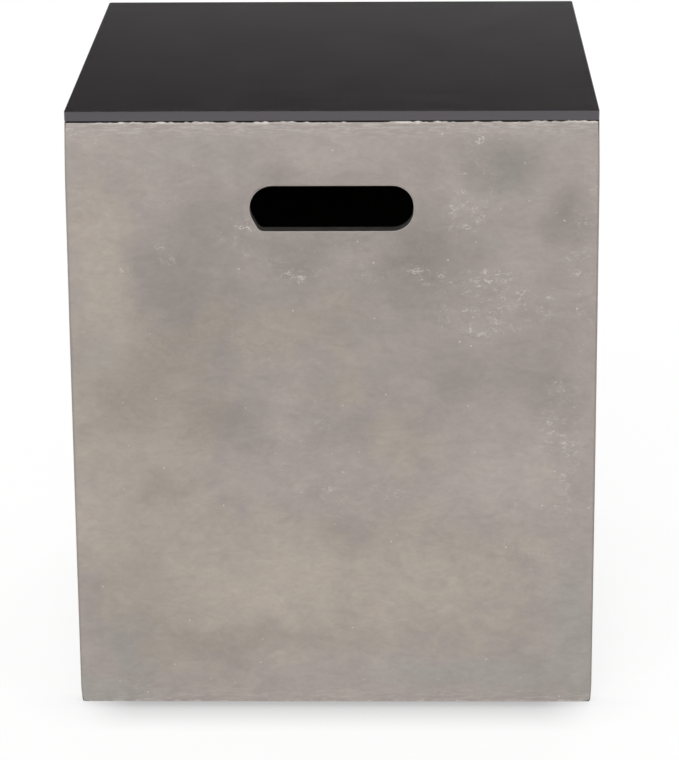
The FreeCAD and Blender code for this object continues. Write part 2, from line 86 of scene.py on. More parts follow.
class TableShellSettings(bpy.types.PropertyGroup):
    wall: size("Wall", "Thickness of the cast walls", 14 * MM)
    flare: size("Flare", "How far each wall leans out from rim to floor", 1.4 * MM)
    outer_corner: size("Outer corner", "Radius of the upright outer corners", 2.4 * MM)
    inner_corner: size("Inner corner", "Radius of the upright inner corners", 13 * MM)
    rim_arris: size("Rim arris", "Rounding of the rim", 1 * MM)
    foot_arris: size("Foot arris", "Rounding of the outer lower edge and of the hose notch", 2.2 * MM)
    inner_foot_arris: size("Inner foot arris", "Rounding of the inner lower edge", 1.5 * MM)
    slot_arris: size("Slot arris", "Rounding of the hand slots' outer edges", 1.3 * MM)
    slot_inner_arris: size("Inner slot arris", "Rounding of the hand slots' inner edges", 0.6 * MM)
    slot_right: size("Slot right", "From the middle to the right end of a hand slot", 64.6 * MM)
    slot_left: size("Slot left", "From the middle to the left end of a hand slot", 65.4 * MM)
    slot_top: size("Slot top", "From the rim down to the top of a hand slot", 52 * MM)
    slot_height: size("Slot height", "Height of a hand slot", 37 * MM)
    slot_end: size("Slot end", "Radius of a hand slot's ends", 18 * MM)
    blunt_reach: size("Blunt reach", "How far the front slot's blunt corner lies from its left end", 7.6 * MM)
    blunt_rise: size("Blunt rise", "Height of the blunt corner's slanting side", 13.6 * MM)
    blunt_corner: size("Blunt corner", "Radius at the foot of the blunt corner", 6 * MM)
    notch_width: size("Notch width", "Width of the hose notch", 60 * MM)
    notch_height: size("Notch height", "Height of the hose notch", 45 * MM)
    pitch: size("Pitch", "Distance between the mesh lines of the walls", 6 * MM)
    bow: size("Bow", "How far the walls bulge half way up", 0.3 * MM)
    sag: size("Hollow", "How far the cast faces dip inwards in places", 0.1 * MM)
    wear: size("Wear", "How far the upright edges are rubbed away", 0.08 * MM)
    rim_wear: size("Rim wear", "How much more of the upright edges is rubbed away at the rim", 1.2 * MM)
    foot_wear: size("Foot wear", "How much more of the upright edges is rubbed away at the foot", 1.4 * MM)
    flash: size("Flash", "How far the rim's ragged edge stands up in front of the lid", 1.1 * MM)


class TableLidSettings(bpy.types.PropertyGroup):
    sheet: size("Sheet", "Thickness of the steel sheet", 1.2 * MM)
    corner: size("Corner", "Radius of the lid's corners, seen from above", 2.5 * MM)
    bend: size("Bend", "Outer radius of the bend under the top edge", 0.6 * MM)
    inner_bend: size("Inner bend", "Inner radius of the bend under the top edge", 0.4 * MM)
    cut_edge: size("Cut edge", "Rounding of the sheet's cut edges", 0.2 * MM)
    crown: size("Stiffener crown", "Width of a stiffener's flat crown", 20 * MM)
    stiffener_bend: size("Stiffener bend", "Inside radius of a stiffener's bends", 0.8 * MM)
    weld_spacing: size("Weld spacing", "Distance between the stiffeners' spot welds", 45 * MM)
    weld_radius: size("Weld radius", "Radius of a spot weld's mark", 2.6 * MM)
    moulded_edge: size("Moulded edge", "Rounding of the locators' edges", 0.35 * MM)
    stud_radius: size("Stud radius", "Radius of the weld studs", 2 * MM)
    stud_end_distance: size("Stud place", "From a stud to the end of a locator's arm", 15 * MM)
    stud_tip: size("Stud tip", "Chamfer at a stud's tip", 0.5 * MM)
    thread_pitch: size("Thread pitch", "Pitch of the weld studs' thread", 0.7 * MM)
    thread_depth: size("Thread depth", "Depth of the weld studs' thread", 0.35 * MM)
    nut_chamfer: size("Nut chamfer", "How far the nuts' corners are cut back", 0.8 * MM)
    nut_edge: size("Nut edge", "Rounding of the nuts' edges", 0.12 * MM)
    bumper_arris: size("Bumper arris", "Rounding of a bumper's lower edge", 0.8 * MM)
    bumper_dimple: size("Bumper dimple", "Radius of the dimple under a bumper", 1.7 * MM)


class TableColours(bpy.types.PropertyGroup):
    sand: colour("Sand", "Warm tint of the cast concrete", paint(161, 152, 143))
    mauve: colour("Mauve", "Reddish tint of the cast concrete", paint(159, 150, 145))
    moss: colour("Moss", "Greenish tint of the cast concrete", paint(154, 149.5, 144))
    # Also the colour of the painted highlight along the rim's arris.
    chalk_and_highlight: colour("Chalk", "Pale dust in nicks and on edges", paint(208, 202, 195))
    # Also the painted shade on the rim's top under the lid.
    inside_paint_and_joint_shade: colour("Inside paint", "Masonry paint in the slots and inside", paint(76, 74, 71))
    coating: colour("Coating", "Powder coating of the lid", paint(34, 28, 28))
    zinc: colour("Zinc", "Zinc plating of the studs and nuts", paint(190, 192, 194))
    nylon: colour("Nylon", "Moulded nylon of the locators", paint(36, 36, 37))
    rubber: colour("Rubber", "Rubber of the bumpers", paint(33, 32, 32))


class TableStageSettings(bpy.types.PropertyGroup):
    camera_place: FloatVectorProperty(
        name="Camera place", description="Where the camera stands", unit="LENGTH", default=(0.05354, -2.65413, 1.09478)
    )
    camera_pitch: FloatProperty(
        name="Camera pitch", description="How far the camera looks down", subtype="ANGLE", default=0.3211
    )
    camera_yaw: FloatProperty(
        name="Camera yaw", description="How far the camera is turned to its left", subtype="ANGLE", default=0.0199
    )
    camera_roll: FloatProperty(
        name="Camera roll", description="How far the camera leans", subtype="ANGLE", default=-0.0074
    )
    camera_lens: FloatProperty(
        name="Camera lens", description="Focal length for a 36 mm sensor, in millimetres", default=151.63
    )
    ambient: FloatProperty(name="Ambient", description="Brightness of the studio round the table", default=0.8)
    overhead: FloatProperty(name="Overhead", description="Brightness of the studio above the table", default=0.3)
    key_power: FloatProperty(name="Key power", description="Power of the large lamp in front, in watts", default=47)
    fill_power: FloatProperty(name="Fill power", description="Power of the lamp at the right, in watts", default=15)
    glint_power: FloatProperty(name="Glint power", description="Power of the small lamp in front, in watts", default=2.5)
    back_power: FloatProperty(name="Back power", description="Power of the large lamp behind, in watts", default=45)
    side_power: FloatProperty(name="Side power", description="Power of the lamp at the left, in watts", default=15)
    floor_lift: FloatProperty(name="Floor lift", description="The floor's own white, under the light on it", default=0.86)
    floor_contact: size("Contact shadow", "How far the shadow along the table's foot reaches", 60 * MM)


# Shader nodes

class Finish:
    """A material or world whose shader nodes are added one by one."""

    def __init__(self, owner):
        self.owner = owner
        owner.use_nodes = True
        self.tree = owner.node_tree
        self.tree.nodes.clear()

    def node(self, kind, inputs, **settings):
        """Add a node and give its inputs, each a value or another node's output."""
        made = self.tree.nodes.new("ShaderNode" + kind)
        for name, value in settings.items():
            setattr(made, name, value)
        for name, value in inputs.items():
            if isinstance(value, bpy.types.NodeSocket):
                self.tree.links.new(value, made.inputs[name])
            else:
                made.inputs[name].default_value = value
        return made

    def place(self):
        """The place on the table, in metres."""
        return self.node("TexCoord", {}).outputs["Object"]

    def sum(self, operation, *values):
        """A sum of numbers."""
        made = self.node("Math", dict(enumerate(values)), operation=operation)
        return made.outputs["Value"]

    def vector_sum(self, operation, *values):
        """A sum of vectors."""
        made = self.node("VectorMath", dict(enumerate(values)), operation=operation)
        return made.outputs["Vector"]

    def parts(self, vector):
        """The three parts of a vector."""
        made = self.node("SeparateXYZ", {"Vector": vector})
        return made.outputs["X"], made.outputs["Y"], made.outputs["Z"]

    def vector(self, x, y, z):
        """A vector from its three parts."""
        return self.node("CombineXYZ", {"X": x, "Y": y, "Z": z}).outputs["Vector"]

    def step(self, value, low, high, start=0.0, end=1.0):
        """A soft step that goes from start to end while the value goes from low to high."""
        inputs = {"Value": value, "From Min": low, "From Max": high, "To Min": start, "To Max": end}
        return self.node("MapRange", inputs, interpolation_type="SMOOTHSTEP").outputs["Result"]

    def between(self, share, first, second):
        """A number between two others."""
        kept = self.sum("MULTIPLY", self.sum("SUBTRACT", 1.0, share), first)
        return self.sum("ADD", kept, self.sum("MULTIPLY", share, second))

    def line(self, value, low, high, start=0.0, end=1.0):
        """A straight ramp from start to end while the value goes from low to high."""
        inputs = {"Value": value, "From Min": low, "From Max": high, "To Min": start, "To Max": end}
        return self.node("MapRange", inputs, interpolation_type="LINEAR").outputs["Result"]

    def cloud(self, place, scale, detail=2.0, roughness=0.5, distortion=0.0):
        """Noise from 0 to 1."""
        inputs = {"Vector": place, "Scale": scale, "Detail": detail, "Roughness": roughness, "Distortion": distortion}
        return self.node("TexNoise", inputs).outputs["Fac"]

    def blend(self, share, first, second, blend_type="MIX"):
        """One colour blended into another."""
        made = self.node("Mix", {}, data_type="RGBA", blend_type=blend_type, clamp_factor=True)
        sockets = [s for s in made.inputs if s.enabled]
        for socket, value in zip(sockets, (share, first, second)):
            if isinstance(value, bpy.types.NodeSocket):
                self.tree.links.new(value, socket)
            elif hasattr(value, "__len__"):
                socket.default_value = (*value[:3], 1.0)
            else:
                socket.default_value = value
        return [s for s in made.outputs if s.enabled][0]

    def grey(self, value):
        """A number as a grey colour."""
        return self.node("CombineColor", {"Red": value, "Green": value, "Blue": value}).outputs["Color"]

    def bump(self, height, distance, strength=1.0, normal=None):
        """Small relief of the surface."""
        inputs = {"Height": height, "Distance": distance, "Strength": strength}
        if normal is not None:
            inputs["Normal"] = normal
        return self.node("Bump", inputs).outputs["Normal"]

    def surface(self, **inputs):
        """End the material in one principled shader."""
        named = {name.replace("_", " "): value for name, value in inputs.items()}
        named = {name: (*value, 1.0) if name == "Base Color" and isinstance(value, tuple) else value
                 for name, value in named.items()}
        shader = self.node("BsdfPrincipled", named)
        self.node("OutputMaterial", {"Surface": shader.outputs["BSDF"]})
        return self.owner


def hairlines(finish, place, spacing, reach, width, share, curl=0.0):
    """Short thin scratches, one to a cell, each turned its own way."""
    cells = finish.node(
        "TexVoronoi", {"Vector": place, "Scale": 1 / spacing, "Randomness": 1.0}, voronoi_dimensions="2D"
    )
    red, green, blue = finish.parts(cells.outputs["Color"])
    across, up, _ = finish.parts(finish.vector_sum("SUBTRACT", place, cells.outputs["Position"]))
    turn = finish.sum("MULTIPLY", finish.sum("SUBTRACT", red, 0.45), math.radians(110))
    cosine = finish.sum("COSINE", turn)
    sine = finish.sum("SINE", turn)
    along = finish.sum("ADD", finish.sum("MULTIPLY", across, cosine), finish.sum("MULTIPLY", up, sine))
    aside = finish.sum("SUBTRACT", finish.sum("MULTIPLY", up, cosine), finish.sum("MULTIPLY", across, sine))
    bow = finish.sum("MULTIPLY", finish.sum("MULTIPLY", along, along), curl)
    aside = finish.sum("ABSOLUTE", finish.sum("ADD", aside, bow))
    line = finish.step(aside, width * 0.4, width, 1.0, 0.0)
    length = finish.sum("MULTIPLY", finish.step(green, 0.0, 1.0, 0.35, 1.0), reach)
    ends = finish.sum("LESS_THAN", finish.sum("ABSOLUTE", along), length)
    chosen = finish.sum("LESS_THAN", blue, share)
    return finish.sum("MULTIPLY", finish.sum("MULTIPLY", line, ends), chosen)


def scribbles(finish, place, scale, width):
    """Fine curling marks, where a cloud of noise passes through its middle value."""
    off = finish.sum("SUBTRACT", finish.cloud(place, scale, 2.0, 0.5, 1.2), 0.5)
    return finish.step(finish.sum("ABSOLUTE", off), 0.3 * width, width, 1.0, 0.0)


# The finishes

# Places on the front wall, in millimetres: across from its middle, up from the floor, half width, half
# height, and strength
FRONT_STAINS = {
    "dark": (
        (-2, 361, 183, 125, 0.45), (-101, 419, 28, 33, 0.35), (-30, 395, 36, 18, 0.4), (74, 380, 36, 37, 0.5),
        (-45, 454, 28, 13, 0.35), (188, 419, 21, 29, 0.6), (174, 273, 36, 34, 0.5), (108, 288, 28, 21, 0.35),
        (-86, 244, 31, 27, 0.65), (-124, 345, 42, 58, 0.42), (-160, 269, 36, 38, 0.45), (-142, 191, 21, 16, 0.45),
        (-116, 192, 11, 9, 0.4), (5, 234, 32, 19, 0.3), (9, 153, 25, 16, 0.25), (128, 462, 33, 21, 0.6),
        (-79, 56, 58, 14, 0.3), (-154, 55, 41, 36, 0.2),
    ),
    "pale": (
        (-185, 374, 28, 75, 0.3), (-66, 100, 74, 44, 0.45), (139, 192, 49, 30, 0.35), (11, 470, 55, 13, 0.3),
        (14, 385, 28, 12, 0.35), (165, 386, 24, 25, 0.25), (-196, 162, 25, 52, 0.3), (70, 100, 66, 35, 0.25),
        (-190, 485, 24, 11, 0.2), (0, 18, 230, 30, 0.2),
    ),
    "moss": (
        (130, 460, 35, 23, 0.5), (-104, 471, 59, 13, 0.35), (123, 394, 16, 16, 0.4), (-166, 51, 20, 36, 0.6),
        (-190, 13, 37, 14, 0.8), (199, 56, 21, 67, 0.9), (120, 27, 91, 18, 0.8), (-196, 303, 21, 22, 0.4),
        (179, 488, 39, 11, 0.3),
    ),
    "sand": (
        (-183, 324, 36, 160, 0.9), (-34, 324, 88, 34, 0.7), (-140, 252, 61, 77, 0.9), (58, 231, 40, 39, 0.7),
        (41, 109, 140, 66, 0.9), (-111, 100, 99, 80, 0.8), (-3, 269, 32, 17, 0.5), (-152, 126, 66, 70, 0.6),
    ),
    "scuffed": (
        (-124, 391, 18, 8, 0.7), (-161, 375, 14, 7, 0.6), (-119, 376, 11, 5, 0.6), (-79, 405, 14, 15, 0.8),
        (-42, 381, 27, 7, 0.9), (40, 367, 13, 8, 0.8), (71, 368, 19, 7, 0.9), (103, 431, 19, 41, 0.8),
        (109, 353, 32, 13, 0.5), (137, 349, 44, 23, 1.0), (126, 332, 24, 13, 0.9), (187, 222, 21, 86, 0.6),
        (-2, 390, 64, 33, 0.3), (-51, 311, 48, 25, 0.3), (-27, 248, 49, 51, 0.3), (9, 188, 65, 10, 0.5),
        (204, 390, 8, 99, 0.6), (-194, 489, 24, 10, 0.6), (152, 126, 49, 53, 0.3), (-70, 487, 100, 7, 0.4),
        (120, 485, 62, 9, 0.7), (-74, 410, 14, 12, 0.6), (-150, 434, 40, 34, 0.25), (-170, 20, 26, 14, 0.4),
    ),
}
# What the other walls have of each kind: how many, least and largest half width and half height, in
# millimetres, and least and largest strength
STAIN_HABITS = {
    "dark": (14, (20, 90), (14, 60), (0.3, 0.6)),
    "pale": (9, (25, 80), (12, 60), (0.25, 0.5)),
    "moss": (7, (18, 90), (13, 60), (0.3, 0.6)),
    "sand": (8, (35, 140), (25, 120), (0.5, 0.9)),
    "scuffed": (18, (12, 60), (6, 40), (0.3, 1.0)),
}


def wall_stains():
    """The stains of the four walls, each wall with its outward direction."""
    draw = random.Random(11)
    half = SHELL_HIGH.x / MM
    height = SHELL_HIGH.z / MM
    walls = [(Vector((0, -1, 0)), FRONT_STAINS)]
    for outward in (Vector((1, 0, 0)), Vector((0, 1, 0)), Vector((-1, 0, 0))):
        stains = {}
        for kind, (count, widths, heights, strengths) in STAIN_HABITS.items():
            stains[kind] = [
                (draw.uniform(-half, half), draw.uniform(0, height), draw.uniform(*widths), draw.uniform(*heights),
                 draw.uniform(*strengths))
                for _ in range(count)
            ]
        walls.append((outward, stains))
    return walls


def strength_at(stains, across, up):
    """How strongly a kind of stain shows at a place on its wall, in millimetres."""
    total = 0.0
    for middle, level, half_width, half_height, strength in stains:
        distance = ((across - middle) / (1.5 * half_width)) ** 2 + ((up - level) / (1.5 * half_height)) ** 2
        if distance < 1:
            total += strength * (1 - distance) ** 2
    return min(1.0, total)


def soak(mesh):
    """Keep the stains of the cast walls on the mesh: tone, moss, sand and scuffs at each point."""
    layer = mesh.attributes.new("stains", "FLOAT_COLOR", "POINT")
    walls = wall_stains()
    for vert, kept in zip(mesh.vertices, layer.data):
        outward, stains = max(walls, key=lambda wall: wall[0].dot(vert.co))
        sideways = Vector((-outward.y, outward.x, 0))
        stray = 17 * noise.noise_vector(vert.co * 16) + 9 * noise.noise_vector(vert.co * 45)
        across = sideways.dot(vert.co) / MM + stray.x
        up = vert.co.z / MM + stray.z
        found = {kind: strength_at(rows, across, up) for kind, rows in stains.items()}
        tone = 0.5 + 0.5 * (found["pale"] - found["dark"]) + 0.09 * noise.noise(vert.co * 14)
        kept.color = (tone, found["moss"], found["sand"], found["scuffed"])


def wall_places(finish, place):
    """The place unrolled onto the walls, its level, and how far it is from the face and from an upright edge."""
    shell = bpy.context.scene.table_shell
    x, y, z = finish.parts(place)
    across_x = finish.sum("ABSOLUTE", x)
    across_y = finish.sum("ABSOLUTE", y)
    on_side = finish.sum("GREATER_THAN", across_x, across_y)
    on_front = finish.sum("SUBTRACT", 1.0, on_side)
    along = finish.sum("ADD", finish.sum("MULTIPLY", on_side, y), finish.sum("MULTIPLY", on_front, x))
    wall = finish.sum("ADD", finish.sum("SIGN", finish.sum("ADD", x, y)), finish.sum("MULTIPLY", on_side, 3.0))
    unrolled = finish.vector(finish.sum("ADD", along, wall), z, 0.0)
    lean = finish.sum("MULTIPLY", z, shell.flare / SHELL_HIGH.z)
    half = finish.sum("SUBTRACT", SHELL_HIGH.x, lean)
    from_face = finish.sum("SUBTRACT", half, finish.sum("MAXIMUM", across_x, across_y))
    from_upright = finish.sum("SUBTRACT", half, finish.sum("MINIMUM", across_x, across_y))
    return unrolled, z, from_face, from_upright


def concrete():
    """Thin-rubbed cast concrete: clouded tints, trowel strokes, nicks and black paint inside, with a painted highlight
    on the rim's arris and painted shade on the upright edges and on the rim's top under the lid.
    """
    tints = bpy.context.scene.table_colours
    finish = Finish(bpy.data.materials.new("cast_concrete"))
    place = finish.place()
    unrolled, z, from_face, from_upright = wall_places(finish, place)
    stains = finish.node("Attribute", {}, attribute_name="stains").outputs
    tone, moss, sand = finish.parts(stains["Vector"])
    scuffed = stains["Alpha"]

    mottle = finish.cloud(place, 38.0, 4.0, 0.6)
    level_strokes = finish.vector_sum("MULTIPLY", unrolled, (1.0, 1.7, 1.0))
    strokes = finish.cloud(level_strokes, 50.0, 2.0, 0.62, 1.2)
    tilted = {"Vector": unrolled, "Rotation": (0.0, 0.0, math.radians(60)), "Scale": (1.0, 2.2, 1.0)}
    slanting = finish.cloud(finish.node("Mapping", tilted).outputs["Vector"], 66.0, 2.0, 0.62, 1.5)
    grain = finish.cloud(place, 420.0, 2.0, 0.6)

    sandy = finish.sum("ADD", sand, finish.sum("MULTIPLY", finish.sum("SUBTRACT", mottle, 0.5), 1.9))
    base = finish.blend(finish.step(sandy, 0.1, 0.8), tints.mauve, tints.sand)
    mossy = finish.sum("ADD", moss, finish.sum("MULTIPLY", finish.sum("SUBTRACT", mottle, 0.5), 0.8))
    base = finish.blend(finish.step(mossy, 0.05, 0.75), base, tints.moss)
    base = finish.blend(1.0, base, finish.grey(finish.line(tone, 0.0, 1.0, 0.70, 1.30)), "MULTIPLY")
    rubbed = finish.sum("ADD", finish.sum("MULTIPLY", strokes, 0.35), finish.sum("MULTIPLY", slanting, 0.27))
    rubbed = finish.sum("ADD", rubbed, finish.sum("MULTIPLY", mottle, 0.38))
    base = finish.blend(1.0, base, finish.grey(finish.line(rubbed, 0.30, 0.70, 0.865, 1.135)), "MULTIPLY")
    base = finish.blend(1.0, base, finish.grey(finish.line(grain, 0.30, 0.70, 0.98, 1.02)), "MULTIPLY")

    moved = finish.vector_sum("ADD", unrolled, (0.37, 0.21, 0.0))
    sown = finish.vector_sum("ADD", unrolled, (0.11, 0.67, 0.0))
    curls = scribbles(finish, finish.vector_sum("MULTIPLY", unrolled, (0.6, 1.5, 1.0)), 80.0, 0.013)
    drawn_out = finish.vector_sum("MULTIPLY", moved, (0.55, 1.2, 1.0))
    curls = finish.sum("MAXIMUM", curls, scribbles(finish, drawn_out, 110.0, 0.015))
    broken = finish.step(finish.cloud(place, 220.0, 2.0, 0.6), 0.46, 0.56)
    long = hairlines(finish, moved, 8.5 * MM, 4.5 * MM, 0.36 * MM, 0.7, 6.0)
    short = hairlines(finish, sown, 5 * MM, 2.6 * MM, 0.3 * MM, 0.6, 9.0)
    long = finish.sum("MAXIMUM", long, short)
    clumps = finish.step(finish.cloud(moved, 65.0, 2.0, 0.5), 0.43, 0.60)
    scratches = finish.sum("MULTIPLY", finish.sum("MAXIMUM", curls, long), finish.sum("MULTIPLY", broken, clumps))
    scratches = finish.sum("MULTIPLY", scratches, finish.step(scuffed, 0.05, 0.7))
    specks = hairlines(finish, sown, 34 * MM, 0.7 * MM, 0.7 * MM, 0.35)
    gathered = finish.sum("MULTIPLY", hairlines(finish, moved, 7 * MM, 0.45 * MM, 0.5 * MM, 0.3), scuffed)
    rough = finish.step(finish.cloud(level_strokes, 190.0, 2.0, 0.6, 1.5), 0.55, 0.72, 0.0, 0.30)
    rough = finish.sum("MULTIPLY", rough, finish.line(scuffed, 0.0, 1.0, 0.1, 1.0))
    rough = finish.sum("MULTIPLY", rough, clumps)
    chalk_and_rim_highlight = finish.sum("MAXIMUM", finish.sum("MULTIPLY", scratches, 0.62), finish.sum("MULTIPLY", specks, 0.7))
    chalk_and_rim_highlight = finish.sum("MAXIMUM", chalk_and_rim_highlight, finish.sum("MULTIPLY", gathered, 0.6))
    chalk_and_rim_highlight = finish.sum("MAXIMUM", chalk_and_rim_highlight, rough)

    ragged = finish.cloud(unrolled, 120.0, 3.0, 0.7)
    wavy = finish.sum("MULTIPLY", finish.sum("SUBTRACT", ragged, 0.5), 4 * MM)
    level = finish.sum("ADD", z, wavy)
    height = SHELL_HIGH.z
    patchy = finish.step(finish.cloud(unrolled, 45.0, 3.0, 0.7), 0.42, 0.58, 0.35, 1.0)
    # Partly pale dust on the chipped rim arris, partly a painted highlight where the rounded rim catches the light from
    # above.
    rim_chalk_and_highlight = finish.sum("MULTIPLY", finish.step(level, height - 1.7 * MM, height - 0.5 * MM, 0.0, 0.95), patchy)
    streaks = finish.cloud(finish.vector_sum("MULTIPLY", unrolled, (1.0, 7.0, 1.0)), 75.0, 3.0, 0.7, 0.5)
    streaks = finish.step(streaks, 0.45, 0.65)
    rim_band = finish.sum("MULTIPLY", finish.step(level, height - 16 * MM, height - 2 * MM, 0.0, 0.32), streaks)
    foot_band = finish.sum("MULTIPLY", finish.step(level, 3 * MM, 18 * MM, 0.20, 0.0), streaks)
    foot_line = finish.sum("MULTIPLY", finish.step(level, 0.8 * MM, 2.6 * MM, 0.85, 0.0), patchy)
    edges = finish.sum("MAXIMUM", finish.sum("MAXIMUM", rim_chalk_and_highlight, rim_band), finish.sum("MAXIMUM", foot_line, foot_band))
    inward = finish.sum("ADD", from_face, finish.sum("MULTIPLY", wavy, 0.1))
    slot_line = finish.sum("MULTIPLY", finish.step(inward, 0.1 * MM, 0.4 * MM), finish.step(from_upright, 20 * MM, 30 * MM, 0.0, 0.5))
    chalk_and_rim_highlight = finish.sum("MAXIMUM", chalk_and_rim_highlight, finish.sum("MAXIMUM", edges, slot_line))
    base = finish.blend(chalk_and_rim_highlight, base, tints.chalk_and_highlight)
    # Painted shade: the last millimetres of the upright edges are darkened where the rounded corners turn away from the
    # light.
    upright = finish.step(finish.sum("ADD", from_upright, finish.sum("MULTIPLY", wavy, 0.2)), 0.6 * MM, 2.4 * MM, 0.84, 1.0)
    base = finish.blend(1.0, base, finish.grey(upright), "MULTIPLY")

    # Dark masonry paint inside and in the slots; the same dark colour on the rim's top under the lid is painted shade
    # of the joint between lid and rim.
    paint_and_joint_shade_edge = finish.sum("ADD", from_face, finish.sum("MULTIPLY", wavy, 0.25))
    painted = finish.step(paint_and_joint_shade_edge, 0.9 * MM, 1.4 * MM)
    roller = finish.cloud(place, 90.0, 3.0, 0.6)
    darker_paint_and_joint_shade = tuple(0.7 * c for c in tints.inside_paint_and_joint_shade)
    inside = finish.blend(finish.step(roller, 0.3, 0.7), tints.inside_paint_and_joint_shade, darker_paint_and_joint_shade)
    base = finish.blend(painted, base, inside)

    pits = finish.step(finish.cloud(place, 260.0, 1.0, 0.5), 0.66, 0.76)
    relief = finish.sum("ADD", finish.sum("MULTIPLY", strokes, 0.9), finish.sum("MULTIPLY", grain, 0.12))
    relief = finish.sum("SUBTRACT", relief, finish.sum("MULTIPLY", pits, 0.35))
    relief = finish.sum("SUBTRACT", relief, finish.sum("MULTIPLY", scratches, 0.5))
    bumps = finish.bump(relief, 0.2 * MM, 0.6)
    roughness = finish.step(mottle, 0.3, 0.7, 0.66, 0.82)
    return finish.surface(Base_Color=base, Roughness=roughness, IOR=1.35, Normal=bumps)


def coating():
    """Satin powder coating with a fine orange peel and faint wiping marks."""
    tints = bpy.context.scene.table_colours
    finish = Finish(bpy.data.materials.new("powder_coating"))
    place = finish.place()
    peel = finish.cloud(place, 900.0, 2.0, 0.5)
    swell = finish.cloud(place, 24.0, 3.0, 0.5)
    wiped = finish.cloud(finish.vector_sum("MULTIPLY", place, (1.0, 4.0, 1.0)), 18.0, 4.0, 0.6, 0.8)
    dust = finish.step(finish.cloud(place, 700.0, 1.0), 0.74, 0.80, 0.0, 0.10)
    paler = tuple(1.06 * c for c in tints.coating)
    base = finish.blend(finish.step(wiped, 0.3, 0.7), tints.coating, paler)
    base = finish.blend(dust, base, paint(150, 148, 145))
    roughness = finish.step(wiped, 0.3, 0.7, 0.165, 0.185)
    relief = finish.sum("ADD", finish.sum("MULTIPLY", peel, 0.03), finish.sum("MULTIPLY", swell, 0.02))
    bumps = finish.bump(relief, 0.3 * MM, 0.5)
    cool = (0.89, 0.855, 0.945, 1.0)
    return finish.surface(Base_Color=base, Roughness=roughness, IOR=1.96, Specular_Tint=cool, Normal=bumps)


def zinc():
    """Bright zinc plating with a faint rainbow and dull patches."""
    tints = bpy.context.scene.table_colours
    finish = Finish(bpy.data.materials.new("zinc_plating"))
    place = finish.place()
    spangle = finish.cloud(place, 500.0, 3.0, 0.6)
    dull = finish.cloud(place, 60.0, 3.0)
    base = finish.blend(finish.step(spangle, 0.3, 0.7), tints.zinc, tuple(0.72 * c for c in tints.zinc))
    base = finish.blend(finish.step(dull, 0.5, 0.7, 0.0, 0.35), base, paint(176, 164, 128))
    roughness = finish.step(dull, 0.3, 0.7, 0.25, 0.5)
    relief = finish.bump(spangle, 0.05 * MM, 0.5)
    return finish.surface(Base_Color=base, Metallic=1.0, Roughness=roughness, Normal=relief)


def nylon():
    """Moulded black nylon with a spark-eroded grain and faint flow marks."""
    tints = bpy.context.scene.table_colours
    finish = Finish(bpy.data.materials.new("moulded_nylon"))
    place = finish.place()
    grain = finish.cloud(place, 1500.0, 2.0, 0.6)
    flow = finish.cloud(finish.vector_sum("MULTIPLY", place, (1.0, 1.0, 3.0)), 45.0, 3.0, 0.5, 1.5)
    base = finish.blend(finish.step(flow, 0.35, 0.65), tints.nylon, tuple(1.5 * c for c in tints.nylon))
    roughness = finish.step(flow, 0.3, 0.7, 0.48, 0.62)
    return finish.surface(Base_Color=base, Roughness=roughness, IOR=1.5, Normal=finish.bump(grain, 0.05 * MM, 0.7))


def rubber():
    """Soft black rubber with a bloom of dust."""
    tints = bpy.context.scene.table_colours
    finish = Finish(bpy.data.materials.new("bumper_rubber"))
    place = finish.place()
    bloom = finish.cloud(place, 260.0, 4.0, 0.6)
    base = finish.blend(finish.step(bloom, 0.45, 0.7, 0.0, 0.35), tints.rubber, paint(92, 90, 88))
    roughness = finish.step(bloom, 0.3, 0.7, 0.70, 0.88)
    return finish.surface(Base_Color=base, Roughness=roughness, IOR=1.5, Normal=finish.bump(bloom, 0.06 * MM, 0.5))


# Mesh helpers

def slice_mesh(bm, place, direction):
    """Cut mesh lines where a plane crosses."""
    geometry = bm.verts[:] + bm.edges[:] + bm.faces[:]
    bmesh.ops.bisect_plane(bm, geom=geometry, dist=TOUCH, plane_co=place, plane_no=direction)


def divide(bm, axis, low, high, pitch):
    """Divide the edges that run along an axis from low to high into steps of about the pitch."""
    edges = []
    for edge in bm.edges:
        first, last = sorted(vert.co[axis] for vert in edge.verts)
        if first > low - TOUCH and last < high + TOUCH and last - first > (high - low) / 2:
            edges.append(edge)
    cuts = round((high - low) / pitch) - 1
    if edges and cuts > 0:
        bmesh.ops.subdivide_edges(bm, edges=edges, cuts=cuts)


def round_edges(bm, edges, radius, segments):
    """Round edges of the mesh."""
    return bmesh.ops.bevel(
        bm, geom=edges, offset=radius, offset_type="OFFSET", segments=segments, profile=0.5, affect="EDGES", material=-1
    )


def sharp_edges(bm, least=math.radians(30)):
    """The edges where two faces meet at more than an angle."""
    return [edge for edge in bm.edges if edge.is_manifold and edge.calc_face_angle() > least]


def join_loops(bm, first, second, lift):
    """Join two loops of open edges by a ring of faces, with the second lifted off the first's plane meanwhile."""
    verts = list({vert for edge in second for vert in edge.verts})
    bmesh.ops.translate(bm, vec=lift, verts=verts)
    bmesh.ops.bridge_loops(bm, edges=first + second)
    bmesh.ops.translate(bm, vec=-lift, verts=verts)


def add_piece(bm, name, material, body, nodes):
    """Turn a mesh into a piece that rides on a body and stands for CAD nodes."""
    for face in bm.faces:
        face.smooth = True
    mesh = bpy.data.meshes.new(name)
    bm.to_mesh(mesh)
    bm.free()
    mesh.materials.append(material)
    piece = bpy.data.objects.new(name, mesh)
    bpy.context.scene.collection.objects.link(piece)
    weighted = piece.modifiers.new("even_shading", "WEIGHTED_NORMAL")
    weighted.mode = "FACE_AREA_WITH_ANGLE"
    weighted.keep_sharp = True
    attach(piece, body)
    if nodes:
        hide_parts(*nodes)
    return piece


# The cast shell

def shell_half(z):
    """Half the shell's outer width at a level."""
    shell = bpy.context.scene.table_shell
    return SHELL_HIGH.x - shell.flare * z / SHELL_HIGH.z


